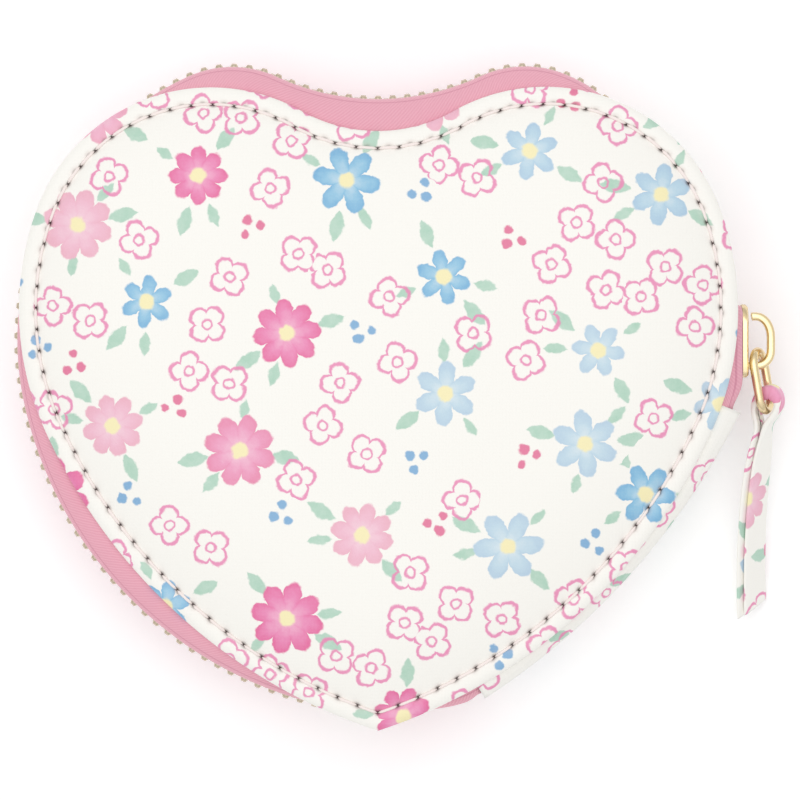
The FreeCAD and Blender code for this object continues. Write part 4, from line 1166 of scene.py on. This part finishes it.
# Section across the strip as (share of the half width, depth under the face): both edges are turned in
TAB_SECTION = [(-0.12, 0.42), (-0.6, 0.42), (-0.93, 0.4), (-1.0, 0.21), (-0.93, 0.02), (-0.6, 0.0),
               (-0.2, 0.0), (0.2, 0.0), (0.6, 0.0), (0.93, 0.02), (1.0, 0.21), (0.93, 0.4), (0.6, 0.42),
               (0.12, 0.42)]
TAB_HALF_WIDTH = 2.6
TAB_WALL = 0.3
TAB_CUT_FROM = (-58.4, -11.0)
KNOT_LAY = math.radians(3.0)
TAB_LAY = math.radians(22.0)
TAB_LAY_RUN = (1.5, 9.0)
TAB_BOW = 1.1
TAB_BOW_RUN = 34.0
TAB_SLANT = 1.0
TAB_SLANT_FROM = -30.0
TAB_PUFF = 0.6
TAB_PUFF_RUN = (-4.2, -1.8)
KNOT_FILL = 3.4
KNOT_FILL_RUN = (1.2, 3.2)
KNOT_CREASE = 0.1
KNOT_HALF_WIDTH = 1.6

tab_frame = link_frame @ Matrix.Translation(TAB_AXIS) @ Matrix.Rotation(TAB_SWING, 4, "Z")
tab_middle = np.array(TAB_PATH)[:, :2]
tab_run = travel(tab_middle)
tab_way = unit(np.gradient(tab_middle, axis=0))
tab_across = travel([(share * TAB_HALF_WIDTH, depth) for share, depth in TAB_SECTION])
tab_points = []
tab_places = []
for (out, along, half_width, shift), way, run in zip(TAB_PATH, tab_way, tab_run):
    puff = TAB_PUFF * smooth_share(along, *TAB_PUFF_RUN) + KNOT_FILL * smooth_share(along, *KNOT_FILL_RUN)
    lay = KNOT_LAY + (TAB_LAY - KNOT_LAY) * smooth_share(-along, *TAB_LAY_RUN)
    bow = TAB_BOW * math.sin(math.pi * min(1.0, max(0.0, -along / TAB_BOW_RUN)))
    slant = TAB_SLANT if along < TAB_SLANT_FROM else 0.0
    crease = KNOT_CREASE if half_width < KNOT_HALF_WIDTH else 0.0
    for (share, depth), across in zip(TAB_SECTION, tab_across):
        inward = depth * (1 + puff) - crease * math.cos(3 * math.pi * share)
        layer = out - way[1] * inward
        side = shift + share * half_width
        place = (layer * math.cos(lay) - side * math.sin(lay) - bow, along + way[0] * inward - slant * share,
                 layer * math.sin(lay) + side * math.cos(lay))
        tab_points.append(tab_frame @ Vector(place))
        tab_places.append((TAB_CUT_FROM[0] + run, TAB_CUT_FROM[1] + across))
tab_faces = quads(len(TAB_PATH), len(TAB_SECTION), around=False)
tab = new_piece("pull_tab_cloth", tab_points, tab_faces, TAB_CLOTH)
add_cloth_map(tab, tab_places)
tab_layer = tab.modifiers.new("layer", "SOLIDIFY")
tab_layer.thickness = TAB_WALL * MM
tab_layer.offset = 0.0
tab_round = tab.modifiers.new("round", "SUBSURF")
tab_round.levels = 2
tab_round.render_levels = 2
plain_mesh(tab)
declare(tab, "tab", "pull_tab")


# Floor, light and camera
# A white table under a large soft lamp, seen from almost straight above.

WHITE = (1.0, 1.0, 1.0, 1.0)
FLOOR_HALF = 3000.0
FLOOR_GLOW = 0.12
FILL_LIGHT = 0.67
HORIZON_LIGHT = 0.5
LAMP_AT = Vector((-0.06, 0.1, 0.75))
LAMP_AIM = Vector((0.0, 0.0, 0.01))
LAMP_SIZE = 0.9
LAMP_POWER = 2.45
AIM = Vector((0.00341, 0.00109, 0.0165))
CAMERA_DISTANCE = 0.4
CAMERA_LEAN = (math.sin(math.radians(0.9)), math.sin(math.radians(0.2)))
FIELD_OF_VIEW = math.radians(17.383)
SENSOR = 36.0

floor_white = bpy.data.materials.new("white_table")
floor_white.use_nodes = True
tree = floor_white.node_tree
fill(tree, tree.nodes["Principled BSDF"], {"Base Color": WHITE, "Roughness": 0.9, "Emission Color": WHITE,
                                           "Emission Strength": FLOOR_GLOW})
floor_corners = [(x * FLOOR_HALF, y * FLOOR_HALF, 0.0) for x, y in ((-1, -1), (1, -1), (1, 1), (-1, 1))]
new_piece("table", floor_corners, [(0, 1, 2, 3)], floor_white)

world = bpy.data.worlds.new("studio")
world.use_nodes = True
bpy.context.scene.world = world
tree = world.node_tree
ray = add_node(tree, "ShaderNodeLightPath").outputs
look = add_node(tree, "ShaderNodeTexCoord").outputs["Generated"]
rise = soft_step(tree, add_node(tree, "ShaderNodeSeparateXYZ", {0: look}).outputs["Z"], 0.0, 0.8)
mirrored = calc(tree, "MULTIPLY_ADD", rise, 1 - HORIZON_LIGHT, HORIZON_LIGHT)
mirrored = calc(tree, "MULTIPLY", ray["Is Glossy Ray"], mirrored)
strength = strongest(tree, [ray["Is Camera Ray"], ray["Is Transmission Ray"], mirrored, FILL_LIGHT])
fill(tree, tree.nodes["Background"], {"Color": WHITE, "Strength": strength})

lamp = bpy.data.lights.new("overhead", "AREA")
lamp.size = LAMP_SIZE
lamp.energy = LAMP_POWER
lamp_holder = bpy.data.objects.new("overhead", lamp)
lamp_holder.location = LAMP_AT
lamp_holder.rotation_mode = "QUATERNION"
lamp_holder.rotation_quaternion = (LAMP_AIM - LAMP_AT).to_track_quat("-Z", "Y")
bpy.context.scene.collection.objects.link(lamp_holder)

camera_data = bpy.data.cameras.new("camera")
camera_data.sensor_width = SENSOR
camera_data.lens = SENSOR / 2 / math.tan(FIELD_OF_VIEW / 2)
camera = bpy.data.objects.new("camera", camera_data)
toward_camera = Vector((*CAMERA_LEAN, math.sqrt(1 - CAMERA_LEAN[0] ** 2 - CAMERA_LEAN[1] ** 2)))
camera_right = Vector((0.0, 1.0, 0.0)).cross(toward_camera).normalized()
camera_up = toward_camera.cross(camera_right)
camera.matrix_world = Matrix.Translation(AIM + toward_camera * CAMERA_DISTANCE) @ Matrix(
    (camera_right, camera_up, toward_camera)).transposed().to_4x4()
bpy.context.scene.collection.objects.link(camera)
bpy.context.scene.camera = camera
bpy.context.scene.view_settings.view_transform = "Standard"
